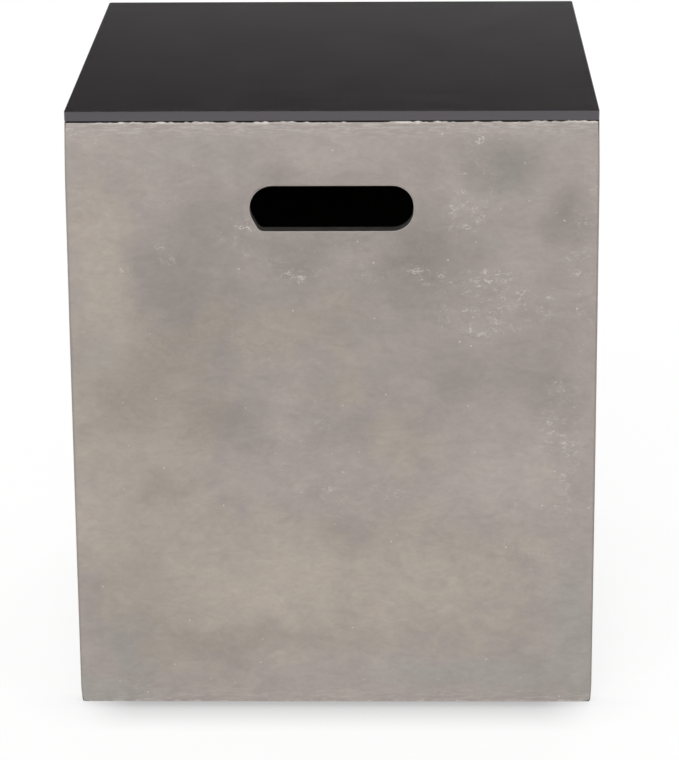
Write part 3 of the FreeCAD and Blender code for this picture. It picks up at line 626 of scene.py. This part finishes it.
def add_skin(bm, inset, corner, segments):
    """Four leaning walls with rounded upright corners, open above and below."""
    made = bmesh.ops.create_cube(bm, size=1.0)
    for vert in made["verts"]:
        z = SHELL_HIGH.z if vert.co.z > 0 else 0.0
        half = shell_half(z) - inset
        vert.co = (math.copysign(half, vert.co.x), math.copysign(half, vert.co.y), z)
    faces = {face for vert in made["verts"] for face in vert.link_faces}
    ends = [face for face in faces if len({round(v.co.z, 4) for v in face.verts}) == 1]
    bmesh.ops.delete(bm, geom=ends, context="FACES_ONLY")
    uprights = [e for vert in made["verts"] for e in vert.link_edges if abs(e.verts[0].co.z - e.verts[1].co.z) > MM]
    round_edges(bm, list(set(uprights)), corner, segments)


def lay_grid(bm, columns, levels):
    """Cut the walls into a fine grid that has lines at these columns and levels."""
    pitch = bpy.context.scene.table_shell.pitch
    for column in columns:
        for side in (-1, 1):
            slice_mesh(bm, (side * column, 0, 0), (1, 0, 0))
            slice_mesh(bm, (0, side * column, 0), (0, 1, 0))
    for level in levels[1:-1]:
        slice_mesh(bm, (0, 0, level), (0, 0, 1))
    for first, last in zip(levels, levels[1:]):
        divide(bm, 2, first, last, pitch)
    for first, last in zip(columns, columns[1:]):
        for axis in (0, 1):
            divide(bm, axis, first, last, pitch)
            divide(bm, axis, -last, -first, pitch)


def on_skin(vert, inset):
    """Tell whether a point lies on a skin of the front or back wall."""
    return abs(shell_half(vert.co.z) - inset - abs(vert.co.y)) < 0.1 * MM


def open_window(bm, side, half_width, low, high):
    """Take the faces of both skins out of a window in the front or back wall."""
    faces = []
    for face in bm.faces:
        centre = face.calc_center_median()
        if centre.y * side > 0.1 and abs(centre.x) < half_width and low < centre.z < high:
            faces.append(face)
    bmesh.ops.delete(bm, geom=faces, context="FACES")


def window_edges(bm, side, inset, half_width, low, high):
    """The open edges round a window, on one skin."""
    found = []
    for edge in bm.edges:
        if not edge.is_boundary:
            continue
        if all(
            v.co.y * side > 0 and on_skin(v, inset) and abs(v.co.x) < half_width + TOUCH
            and low - TOUCH < v.co.z < high + TOUCH for v in edge.verts
        ):
            found.append(edge)
    return found


def slot_window():
    """The grid lines round a hand slot: half its width, its lower and its upper level."""
    shell = bpy.context.scene.table_shell
    top = SHELL_HIGH.z - shell.slot_top
    reach = max(shell.slot_left, shell.slot_right)
    return reach + BORDER, top - shell.slot_height - BORDER, top + BORDER


def notch_window():
    """The grid lines round the hose notch: half its width and its upper level."""
    shell = bpy.context.scene.table_shell
    return shell.notch_width / 2 + BORDER, shell.notch_height + BORDER


def add_slot(bm, side, corners):
    """A hand slot through one wall. Each corner is its place across, its level and its radius."""
    shell = bpy.context.scene.table_shell
    open_window(bm, side, *slot_window())
    windows = [window_edges(bm, side, inset, *slot_window()) for inset in (0.0, shell.wall)]

    known = set(bm.faces)
    verts = [bm.verts.new((x, side * shell_half(z), z)) for x, z, _ in corners]
    bm.faces.new(verts)
    for vert, corner in zip(verts, corners):
        one, two = (edge.other_vert(vert).co - vert.co for edge in vert.link_edges)
        tangent = corner[2] / math.tan(one.angle(two) / 2)
        bmesh.ops.bevel(
            bm, geom=[vert], offset=tangent, offset_type="OFFSET", segments=8, profile=0.5, affect="VERTICES", material=-1
        )
    outline = next(face for face in bm.faces if face not in known)
    missing = len(windows[0]) - len(outline.edges)
    shorter, longer = sorted(outline.edges, key=lambda edge: edge.calc_length())[-2:]
    for edge, cuts in ((shorter, missing // 2), (longer, missing - missing // 2)):
        bmesh.ops.subdivide_edges(bm, edges=[edge], cuts=cuts)
    outline = next(face for face in bm.faces if face not in known)
    ring = outline.edges[:]
    bmesh.ops.delete(bm, geom=[outline], context="FACES_ONLY")
    made = bmesh.ops.extrude_edge_only(bm, edges=ring)["geom"]
    inner = [item for item in made if isinstance(item, bmesh.types.BMEdge) and item.is_boundary]
    for vert in {vert for edge in inner for vert in edge.verts}:
        vert.co.y = side * (shell_half(vert.co.z) - shell.wall)
    lift = Vector((0, side * BORDER, 0))
    join_loops(bm, windows[0], ring, lift)
    join_loops(bm, windows[1], inner, lift)
    return ring + inner


def front_slot_corners():
    """The front hand slot, cut a little blunt at its lower left."""
    shell = bpy.context.scene.table_shell
    top = SHELL_HIGH.z - shell.slot_top
    bottom = top - shell.slot_height
    left = -shell.slot_left
    return [
        (left, top, shell.slot_end),
        (left, bottom + shell.blunt_rise, shell.slot_end),
        (left + shell.blunt_reach, bottom, shell.blunt_corner),
        (shell.slot_right, bottom, shell.slot_end * 0.94),
        (shell.slot_right, top, shell.slot_end * 0.94),
    ]


def back_slot_corners():
    """The back hand slot, with plain round ends."""
    shell = bpy.context.scene.table_shell
    top = SHELL_HIGH.z - shell.slot_top
    bottom = top - shell.slot_height
    half = (shell.slot_left + shell.slot_right) / 2
    return [(-half, top, shell.slot_end), (-half, bottom, shell.slot_end), (half, bottom, shell.slot_end), (half, top, shell.slot_end)]


def add_notch(bm):
    """The hose notch: the open edges round its window are moved onto its arch, on both skins."""
    shell = bpy.context.scene.table_shell
    window_half, window_top = notch_window()
    open_window(bm, BACK, window_half, 0.0, window_top)
    radius = shell.notch_width / 2
    spring = shell.notch_height - radius
    for inset in (0.0, shell.wall):
        edges = window_edges(bm, BACK, inset, window_half, 0.0, window_top)
        verts = {v for e in edges for v in e.verts if abs(v.co.x) > window_half - TOUCH or v.co.z > window_top - TOUCH}
        side_length = window_top
        whole = 2 * side_length + 2 * window_half
        arch = 2 * spring + math.pi * radius
        for vert in verts:
            x, z = vert.co.x, vert.co.z
            if z > window_top - TOUCH:
                run = side_length + x + window_half
            else:
                run = z if x < 0 else whole - z
            run *= arch / whole
            if run < spring:
                x, z = -radius, run
            elif run > arch - spring:
                x, z = radius, arch - run
            else:
                turn = (run - spring) / radius
                x, z = -radius * math.cos(turn), spring + radius * math.sin(turn)
            vert.co = (x, BACK * (shell_half(z) - inset), z)


def loops_at(bm, level):
    """The open edges at a level, and those of the hose notch with the lower ones, skin by skin."""
    outer, inner = [], []
    shell = bpy.context.scene.table_shell
    for edge in bm.edges:
        if not edge.is_boundary:
            continue
        middle = (edge.verts[0].co + edge.verts[1].co) / 2
        if abs(middle.z - level) > 60 * MM:
            continue
        depth = shell_half(middle.z) - max(abs(middle.x), abs(middle.y))
        (outer if depth < shell.wall / 2 else inner).append(edge)
    return outer, inner


def along_the_rim(bm):
    """The edges that run along the rim's outer arris."""
    shell = bpy.context.scene.table_shell
    found = []
    for edge in bm.edges:
        first, last = (vert.co for vert in edge.verts)
        depth = shell_half(first.z) - max(abs(first.x), abs(first.y))
        in_arris = SHELL_HIGH.z - first.z < 1.2 * shell.rim_arris and depth < 1.2 * shell.rim_arris
        if in_arris and abs(last.z - first.z) < TOUCH and (last - first).length > shell.pitch / 2:
            found.append(edge)
    return found


def weather(bm):
    """Dip the cast faces a little, rub the upright edges and raise the rim's ragged edge."""
    shell = bpy.context.scene.table_shell
    bm.normal_update()
    moves = []
    for vert in bm.verts:
        x, y, z = vert.co
        half = shell_half(z)
        depth = half - max(abs(x), abs(y))
        if depth > shell.outer_corner:
            continue
        from_upright = half - min(abs(x), abs(y))
        dip = shell.sag * (0.4 + 0.4 * noise.noise(vert.co * 11)) - shell.bow * math.sin(math.pi * z / SHELL_HIGH.z)
        edge = max(0.0, 1 - from_upright / (7 * MM))
        corner = max(0.0, 1 - from_upright / (20 * MM)) ** 2
        rub = 0.5 + 0.5 * noise.noise(Vector((x * 4, y * 4, z * 38)))
        chip = max(0.0, noise.noise(Vector((x * 9, y * 9, z * 120))) - 0.25)
        near_rim = max(0.0, 1 - (SHELL_HIGH.z - z) / (60 * MM)) ** 2
        near_foot = max(0.0, 1 - z / (16 * MM)) ** 2
        away = dip + edge * shell.wear * (rub + 1.6 * chip)
        away += corner * (near_rim * shell.rim_wear + near_foot * shell.foot_wear)
        lift = 0.0
        if z > SHELL_HIGH.z - 1.2 * shell.rim_arris:
            lift = noise.noise(Vector((x * 60, y * 60, 3.0))) + 0.9 * noise.noise(Vector((x * 240, y * 240, 8.0)))
            lift = shell.flash * max(-0.5, min(1.0, lift * 2.2 - 0.2))
            if depth > 0.6 * shell.rim_arris:
                lift = min(lift, 0.3 * shell.flash)
        moves.append((vert, Vector((-away * vert.normal.x, -away * vert.normal.y, lift))))
    for vert, move in moves:
        vert.co += move


class TABLE_OT_cast_shell(bpy.types.Operator):
    """Build the cast shell round its CAD frame"""

    bl_idname = "table.cast_shell"
    bl_label = "Cast shell"

    def execute(self, context):
        shell = context.scene.table_shell
        height = SHELL_HIGH.z
        slot_reach, slot_bottom, slot_top = slot_window()
        notch_reach, notch_top = notch_window()
        flat_half = shell_half(height) - shell.wall - shell.inner_corner - 1.5 * MM
        edge_column = shell_half(height) - shell.outer_corner - 2 * MM
        columns = [0.0, notch_reach, slot_reach, flat_half]
        levels = [0.0, 4 * MM, notch_top, slot_bottom, slot_top, height - 3 * MM, height]
        edge_steps = round((edge_column - flat_half) / shell.pitch)
        corner_segments = 6

        bm = bmesh.new()
        add_skin(bm, 0.0, shell.outer_corner, corner_segments)
        lay_grid(bm, columns + [edge_column], levels)
        add_skin(bm, shell.wall, shell.inner_corner, corner_segments + 2 * edge_steps)
        lay_grid(bm, columns, levels)

        add_notch(bm)
        slot_edges = add_slot(bm, FRONT, front_slot_corners()) + add_slot(bm, BACK, back_slot_corners())
        outer_slot_edges = [e for e in slot_edges if all(on_skin(v, 0.0) for v in e.verts)]
        inner_slot_edges = [e for e in slot_edges if all(on_skin(v, shell.wall) for v in e.verts)]

        groups = []
        for level, lift, outer_radius, inner_radius in (
            (height, BORDER, shell.rim_arris, shell.rim_arris),
            (0.0, -BORDER, shell.foot_arris, shell.inner_foot_arris),
        ):
            outer, inner = loops_at(bm, level)
            if len(outer) != len(inner):
                raise RuntimeError("the two skins have different numbers of mesh lines")
            join_loops(bm, outer, inner, Vector((0, 0, lift)))
            groups += [(outer, outer_radius), (inner, inner_radius)]
        groups += [(outer_slot_edges, shell.slot_arris), (inner_slot_edges, shell.slot_inner_arris)]
        bmesh.ops.recalc_face_normals(bm, faces=bm.faces)
        for edges, radius in groups:
            round_edges(bm, edges, radius, 4)
        bmesh.ops.subdivide_edges(bm, edges=along_the_rim(bm), cuts=4)
        if any(not edge.is_contiguous for edge in bm.edges):
            raise RuntimeError("the cast shell isn't closed, or part of it is inside out")
        weather(bm)
        piece = add_piece(bm, "cast_shell", concrete(), "shell", ["body_shell"])
        soak(piece.data)
        return {"FINISHED"}


# The lid

def add_pan(bm, inset, corner, bend):
    """One skin of the lid: a shallow pan that is open below, and the edges round its mouth."""
    known = set(bm.faces)
    extent = LID_HIGH - LID_LOW - Vector((2 * inset, 2 * inset, inset))
    made = bmesh.ops.create_cube(bm, size=1.0)
    bmesh.ops.scale(bm, vec=extent, verts=made["verts"])
    bmesh.ops.translate(bm, vec=(0, 0, LID_LOW.z + extent.z / 2), verts=made["verts"])
    edges = {edge for vert in made["verts"] for edge in vert.link_edges}
    round_edges(bm, [e for e in edges if abs(e.verts[0].co.z - e.verts[1].co.z) > MM], corner, 6)
    level = LID_LOW.z + extent.z
    edges = {edge for face in set(bm.faces) - known for edge in face.edges}
    round_edges(bm, [e for e in edges if all(v.co.z > level - TOUCH for v in e.verts)], bend, 4)
    faces = set(bm.faces) - known
    mouth = next(face for face in faces if all(vert.co.z < LID_LOW.z + TOUCH for vert in face.verts))
    around = mouth.edges[:]
    bmesh.ops.delete(bm, geom=[mouth], context="FACES_ONLY")
    return around


class TABLE_OT_steel_lid(bpy.types.Operator):
    """Build the folded steel lid"""

    bl_idname = "table.steel_lid"
    bl_label = "Steel lid"

    def execute(self, context):
        lid = context.scene.table_lid
        bm = bmesh.new()
        outer = add_pan(bm, 0.0, lid.corner, lid.bend)
        inner = add_pan(bm, lid.sheet, lid.corner - lid.sheet, lid.inner_bend)
        join_loops(bm, outer, inner, Vector((0, 0, -BORDER)))
        bmesh.ops.recalc_face_normals(bm, faces=bm.faces)
        round_edges(bm, outer + inner, lid.cut_edge, 2)
        if any(not edge.is_contiguous for edge in bm.edges):
            raise RuntimeError("the lid isn't closed, or part of it is inside out")
        add_piece(bm, "steel_lid", coating(), "lid", ["lid_pan"])
        return {"FINISHED"}


# What is under the lid

def node_mesh(name):
    """A merged copy of a CAD node's mesh, with one face for each flat side."""
    bm = bmesh.new()
    bm.from_mesh(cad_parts[name].data)
    bmesh.ops.remove_doubles(bm, verts=bm.verts, dist=TOUCH)
    bmesh.ops.dissolve_limit(bm, angle_limit=math.radians(1), verts=bm.verts, edges=bm.edges)
    return bm


def add_rail(bm, low, high):
    """A hat-shaped rail, folded from sheet, whose feet lie against the lid."""
    lid = bpy.context.scene.table_lid
    middle = (low.y + high.y) / 2
    left, right = middle - lid.crown / 2, middle + lid.crown / 2
    foot = high.z - lid.sheet
    outline = ((high.y, foot), (right, foot), (right, low.z), (left, low.z), (left, foot), (low.y, foot))
    verts = [bm.verts.new((low.x, y, z)) for y, z in outline]
    edges = [bm.edges.new(pair) for pair in zip(verts, verts[1:])]
    made = bmesh.ops.extrude_edge_only(bm, edges=edges)["geom"]
    ends = [item for item in made if isinstance(item, bmesh.types.BMVert)]
    bmesh.ops.translate(bm, vec=(high.x - low.x, 0, 0), verts=ends)
    bends = sharp_edges(bm)
    at_foot = [edge for edge in bends if edge.verts[0].co.z > foot - TOUCH]
    at_crown = [edge for edge in bends if edge.verts[0].co.z < low.z + TOUCH]
    round_edges(bm, at_foot, lid.stiffener_bend, 4)
    round_edges(bm, at_crown, lid.stiffener_bend + lid.sheet, 5)
    crown = min(bm.faces, key=lambda face: face.calc_center_median().z)
    if crown.normal.z > 0:
        bmesh.ops.reverse_faces(bm, faces=bm.faces)
    bmesh.ops.solidify(bm, geom=bm.faces[:], thickness=lid.sheet)
    round_edges(bm, sharp_edges(bm), lid.cut_edge, 2)


def add_spot_welds(bm, low, high):
    """The round marks of the spot welds along a rail's two feet."""
    lid = bpy.context.scene.table_lid
    foot_middle = (high.y - low.y - lid.crown) / 4
    count = round((high.x - low.x) / lid.weld_spacing)
    spacing = (high.x - low.x) / count
    height = 0.3 * MM
    level = high.z - lid.sheet - height / 6
    for number in range(count):
        x = low.x + spacing * (number + 0.5)
        for y in (low.y + foot_middle, high.y - foot_middle):
            bmesh.ops.create_cone(
                bm, cap_ends=True, segments=16, radius1=0.75 * lid.weld_radius, radius2=lid.weld_radius, depth=height,
                matrix=Matrix.Translation((x, y, level)),
            )


class TABLE_OT_stiffeners(bpy.types.Operator):
    """Fold the two stiffening rails and weld them under the lid"""

    bl_idname = "table.stiffeners"
    bl_label = "Stiffeners"

    def execute(self, context):
        material = bpy.data.materials["powder_coating"]
        for side in ("front", "back"):
            low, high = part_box(f"lid_stiffener_{side}")
            bm = bmesh.new()
            add_rail(bm, low, high)
            add_spot_welds(bm, low, high)
            add_piece(bm, f"rail_{side}", material, "lid", [f"lid_stiffener_{side}"])
        return {"FINISHED"}


class TABLE_OT_locators(bpy.types.Operator):
    """Mould the four corner pieces that keep the lid in place"""

    bl_idname = "table.locators"
    bl_label = "Locators"

    def execute(self, context):
        material = nylon()
        for corner in ("back_right", "back_left", "front_left", "front_right"):
            bm = node_mesh(f"locator_{corner}")
            round_edges(bm, sharp_edges(bm), context.scene.table_lid.moulded_edge, 2)
            add_piece(bm, f"corner_piece_{corner}", material, "lid", [f"locator_{corner}"])
        return {"FINISHED"}


def stud_places():
    """Where the eight weld studs stand: two at each corner, one in each arm of a locator."""
    lid = bpy.context.scene.table_lid
    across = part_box("lid_weld_studs")[1].x - lid.stud_radius
    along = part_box("locator_back_right")[0].x + lid.stud_end_distance
    pairs = ((along, across), (across, along))
    return [(side * x, end * y) for x, y in pairs for side in (-1, 1) for end in (-1, 1)]


def add_stud(bm, foot, head):
    """A threaded stud round the Z axis: a core, and a thread that is one ridge wound up round it."""
    lid = bpy.context.scene.table_lid
    core = lid.stud_radius - lid.thread_depth
    steps = 20
    bmesh.ops.create_cone(
        bm, cap_ends=True, segments=steps, radius1=core, radius2=core, depth=head - foot,
        matrix=Matrix.Translation((0, 0, (foot + head) / 2)),
    )
    start = foot + lid.thread_pitch / 2
    turns = int((head - start) / lid.thread_pitch)
    buried = core - lid.thread_depth / 4
    ridge = ((lid.stud_radius, start), (buried, start + 0.45 * lid.thread_pitch), (buried, start - 0.45 * lid.thread_pitch))
    face = bm.faces.new([bm.verts.new((radius, 0, level)) for radius, level in ridge])
    bmesh.ops.spin(
        bm, geom=[face, *face.edges, *face.verts], cent=(0, 0, 0), axis=(0, 0, 1), dvec=(0, 0, lid.thread_pitch / steps),
        angle=math.tau * turns, steps=steps * turns, use_merge=False, use_duplicate=False,
    )
    for vert in bm.verts:
        widest = lid.stud_radius - lid.stud_tip + vert.co.z - foot
        if vert.co.xy.length > widest:
            vert.co.xy *= widest / vert.co.xy.length
    bmesh.ops.recalc_face_normals(bm, faces=bm.faces)


class TABLE_OT_fasteners(bpy.types.Operator):
    """Make the threaded weld studs and the flange nuts that hold the locators"""

    bl_idname = "table.fasteners"
    bl_label = "Studs and nuts"

    def execute(self, context):
        lid = context.scene.table_lid
        material = zinc()
        low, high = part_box("lid_weld_studs")
        places = stud_places()
        bm = bmesh.new()
        add_stud(bm, low.z, high.z)
        first = bm.verts[:]
        stud = first + bm.edges[:] + bm.faces[:]
        for x, y in places[1:]:
            made = bmesh.ops.duplicate(bm, geom=stud)["geom"]
            copied = [item for item in made if isinstance(item, bmesh.types.BMVert)]
            bmesh.ops.translate(bm, vec=(x, y, 0), verts=copied)
        bmesh.ops.translate(bm, vec=(*places[0], 0), verts=first)
        add_piece(bm, "weld_studs", material, "lid", ["lid_weld_studs"])

        bm = node_mesh("locator_nuts")
        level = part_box("locator_nuts")[0].z
        tips = []
        for vert in bm.verts:
            from_stud = min(math.hypot(vert.co.x - x, vert.co.y - y) for x, y in places)
            if vert.co.z < level + TOUCH and from_stud > 1.5 * lid.stud_radius:
                tips.append(vert)
        bmesh.ops.bevel(
            bm, geom=tips, offset=lid.nut_chamfer, offset_type="OFFSET", segments=1, profile=0.5, affect="VERTICES", material=-1
        )
        round_edges(bm, sharp_edges(bm, math.radians(20)), lid.nut_edge, 2)
        add_piece(bm, "flange_nuts", material, "lid", ["locator_nuts"])
        return {"FINISHED"}


def add_bumper(bm, low, high):
    """A round rubber bumper with a dimple underneath, turned from its outline."""
    lid = bpy.context.scene.table_lid
    centre = (low + high) / 2
    radius = (high.x - low.x) / 2
    dimple = 0.3 * MM
    outline = (
        (0.0, low.z + dimple), (lid.bumper_dimple - dimple, low.z + dimple), (lid.bumper_dimple, low.z),
        (radius, low.z), (radius, high.z), (0.0, high.z),
    )
    verts = [bm.verts.new((centre.x + across, centre.y, level)) for across, level in outline]
    edges = [bm.edges.new(pair) for pair in zip(verts, verts[1:])]
    bmesh.ops.spin(
        bm, geom=verts + edges, cent=centre, axis=(0, 0, 1), dvec=(0, 0, 0), angle=math.tau, steps=32, use_merge=True,
        use_duplicate=False,
    )
    bmesh.ops.remove_doubles(bm, verts=bm.verts, dist=TOUCH)
    bmesh.ops.recalc_face_normals(bm, faces=bm.faces)
    lower = [
        edge for edge in sharp_edges(bm)
        if all(v.co.z < low.z + TOUCH and (v.co.xy - centre.xy).length > radius - TOUCH for v in edge.verts)
    ]
    round_edges(bm, lower, lid.bumper_arris, 4)


class TABLE_OT_bumpers(bpy.types.Operator):
    """Turn the eight rubber bumpers between the lid and the rim"""

    bl_idname = "table.bumpers"
    bl_label = "Bumpers"

    def execute(self, context):
        material = rubber()
        for side in ("front", "right", "back", "left"):
            for number in (1, 2):
                node = f"rim_bumper_{side}_{number}"
                bm = bmesh.new()
                add_bumper(bm, *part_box(node))
                add_piece(bm, f"bumper_{side}_{number}", material, "lid", [node])
        return {"FINISHED"}


# The stage

class TABLE_OT_stage(bpy.types.Operator):
    """Lay the floor, set the lamps and place the camera"""

    bl_idname = "table.stage"
    bl_label = "Stage"

    def execute(self, context):
        lay_floor(context)
        light_studio(context)
        place_camera(context)
        context.scene.view_settings.view_transform = "Standard"
        return {"FINISHED"}


def seen_rays(finish):
    """One for the rays that a viewer, a gloss or a glass sends out, and nothing for the others."""
    rays = finish.node("LightPath", {}).outputs
    seen = finish.sum("MAXIMUM", rays["Is Camera Ray"], rays["Is Glossy Ray"])
    return finish.sum("MAXIMUM", seen, rays["Is Transmission Ray"])


def lay_floor(context):
    """Pale floor that stays white in view, with a painted contact shadow along the table's foot."""
    stage = context.scene.table_stage
    bm = bmesh.new()
    bmesh.ops.create_grid(bm, x_segments=1, y_segments=1, size=30.0)
    mesh = bpy.data.meshes.new("studio_floor")
    bm.to_mesh(mesh)
    bm.free()
    floor = bpy.data.objects.new("studio_floor", mesh)
    context.scene.collection.objects.link(floor)
    finish = Finish(bpy.data.materials.new("studio_floor"))
    place = finish.place()
    distance = finish.node("VectorMath", {0: place}, operation="LENGTH").outputs["Value"]
    far = finish.step(distance, 0.55, 1.3)
    # Painted shadow: occlusion near the table darkens the floor's own white. It is full in front and behind, fades
    # toward the corners and is weak beside the side walls.
    wide = finish.node("AmbientOcclusion", {"Distance": stage.floor_contact}, samples=12).outputs["AO"]
    close = finish.node("AmbientOcclusion", {"Distance": 0.25 * stage.floor_contact}, samples=8).outputs["AO"]
    near = finish.between(0.3, wide, close)
    x, y, _ = finish.parts(place)
    foot = SHELL_HIGH.x
    depth = finish.step(finish.sum("ABSOLUTE", y), foot - 20 * MM, foot + 5 * MM, 0.2, 1.0)
    depth = finish.sum("MULTIPLY", depth, finish.step(finish.sum("ABSOLUTE", x), foot - 50 * MM, foot + 8 * MM, 1.0, 0.3))
    covered = finish.line(near, 0.5, 1.0, 0.54, 0.0)
    open_sky = finish.sum("SUBTRACT", 1.0, finish.sum("MULTIPLY", depth, covered))
    plain = finish.node("BsdfDiffuse", {"Color": (0.8, 0.8, 0.8, 1.0)})
    shaded = finish.node("BsdfDiffuse", {"Color": finish.grey(finish.sum("MULTIPLY", open_sky, 0.15))})
    # Painted shade: the floor inside the shell's footprint gets none of the white.
    inner_half = foot - context.scene.table_shell.wall
    out = finish.sum("MAXIMUM", finish.sum("ABSOLUTE", x), finish.sum("ABSOLUTE", y))
    outside = finish.step(out, inner_half + 2 * MM, inner_half + 8 * MM)
    lift = finish.sum("MULTIPLY", finish.sum("MULTIPLY", open_sky, outside), stage.floor_lift)
    lift = finish.node("Emission", {"Color": (1.0, 1.0, 1.0, 1.0), "Strength": lift})
    nearby = finish.node("AddShader", {0: shaded.outputs["BSDF"], 1: lift.outputs["Emission"]})
    white = finish.node("Emission", {"Color": (1.0, 1.0, 1.0, 1.0), "Strength": 1.0})
    shown = finish.node("MixShader", {0: far, 1: nearby.outputs["Shader"], 2: white.outputs["Emission"]})
    both = finish.node("MixShader", {0: seen_rays(finish), 1: plain.outputs["BSDF"], 2: shown.outputs["Shader"]})
    finish.node("OutputMaterial", {"Surface": both.outputs["Shader"]})
    mesh.materials.append(finish.owner)


def light_studio(context):
    """Soft even light: a pale studio all round, large lamps in front and behind, and weaker ones at the sides."""
    stage = context.scene.table_stage
    world = bpy.data.worlds.new("studio")
    context.scene.world = world
    finish = Finish(world)
    rays = finish.node("LightPath", {}).outputs
    across, _, up = finish.parts(finish.node("TexCoord", {}).outputs["Generated"])
    soft_light = finish.step(up, 0.25, 0.85, stage.ambient, stage.overhead)
    mirrored = finish.step(up, 0.08, 0.19, 1.55, 0.0)
    mirrored = finish.sum("MULTIPLY", mirrored, finish.line(across, -0.12, 0.10, 0.70, 1.0))
    mirrored = finish.sum("MAXIMUM", mirrored, finish.step(up, 0.42, 0.8, 0.0, 0.4))
    white = finish.sum("MAXIMUM", rays["Is Camera Ray"], rays["Is Transmission Ray"])
    strength = finish.between(rays["Is Glossy Ray"], soft_light, mirrored)
    strength = finish.between(white, strength, 1.0)
    background = finish.node("Background", {"Color": (1.0, 1.0, 1.0, 1.0), "Strength": strength})
    finish.node("OutputWorld", {"Surface": background.outputs["Background"]})

    for name, power, width, height, place, glints in (
        ("key_lamp", stage.key_power, 2.4, 1.8, Vector((-0.7, -2.6, 2.2)), False),
        ("fill_lamp", stage.fill_power, 1.6, 1.6, Vector((2.6, -1.6, 1.2)), False),
        ("glint_lamp", stage.glint_power, 0.25, 0.5, Vector((-0.18, -2.4, 2.2)), True),
        ("back_lamp", stage.back_power, 2.4, 1.8, Vector((0.6, 2.8, 1.8)), False),
        ("left_lamp", stage.side_power, 1.6, 1.6, Vector((-2.8, 0.8, 1.2)), False),
    ):
        lamp = bpy.data.lights.new(name, "AREA")
        lamp.shape = "RECTANGLE"
        lamp.size = width
        lamp.size_y = height
        lamp.energy = power
        holder = bpy.data.objects.new(name, lamp)
        context.scene.collection.objects.link(holder)
        holder.visible_glossy = glints
        holder.location = place
        holder.rotation_mode = "QUATERNION"
        holder.rotation_quaternion = (Vector((0, 0, 0.3)) - place).to_track_quat("-Z", "Y")


def place_camera(context):
    """The camera, at the angle of the reference picture."""
    stage = context.scene.table_stage
    lens = bpy.data.cameras.new("camera")
    lens.lens = stage.camera_lens
    lens.sensor_width = 36.0
    camera = bpy.data.objects.new("camera", lens)
    context.scene.collection.objects.link(camera)
    turn = Matrix.Rotation(stage.camera_yaw, 4, "Z")
    turn @= Matrix.Rotation(math.pi / 2 - stage.camera_pitch, 4, "X")
    turn @= Matrix.Rotation(stage.camera_roll, 4, "Z")
    camera.matrix_world = Matrix.Translation(stage.camera_place) @ turn
    context.scene.camera = camera


# The panel, and what runs it all

SETTINGS = (
    ("table_shell", TableShellSettings),
    ("table_lid", TableLidSettings),
    ("table_colours", TableColours),
    ("table_stage", TableStageSettings),
)
OPERATORS = (
    TABLE_OT_cast_shell, TABLE_OT_steel_lid, TABLE_OT_stiffeners, TABLE_OT_locators, TABLE_OT_fasteners,
    TABLE_OT_bumpers, TABLE_OT_stage,
)


class TABLE_PT_panel(bpy.types.Panel):
    """Buttons that build the table piece by piece"""

    bl_idname = "TABLE_PT_panel"
    bl_label = "Table"
    bl_space_type = "VIEW_3D"
    bl_region_type = "UI"
    bl_category = "Table"

    def draw(self, context):
        for operator in OPERATORS:
            self.layout.operator(operator.bl_idname)
        for name, group in SETTINGS:
            box = self.layout.box()
            for field in group.__annotations__:
                box.prop(getattr(context.scene, name), field)


def register():
    for name, group in SETTINGS:
        bpy.utils.register_class(group)
        setattr(bpy.types.Scene, name, PointerProperty(type=group))
    for made in (*OPERATORS, TABLE_PT_panel):
        bpy.utils.register_class(made)


def unregister():
    for made in (TABLE_PT_panel, *reversed(OPERATORS)):
        bpy.utils.unregister_class(made)
    for name, group in reversed(SETTINGS):
        delattr(bpy.types.Scene, name)
        bpy.utils.unregister_class(group)


def main():
    """Build every piece and the stage."""
    register()
    bpy.ops.table.cast_shell()
    bpy.ops.table.steel_lid()
    bpy.ops.table.stiffeners()
    bpy.ops.table.locators()
    bpy.ops.table.fasteners()
    bpy.ops.table.bumpers()
    bpy.ops.table.stage()


if __name__ == "__main__":
    main()
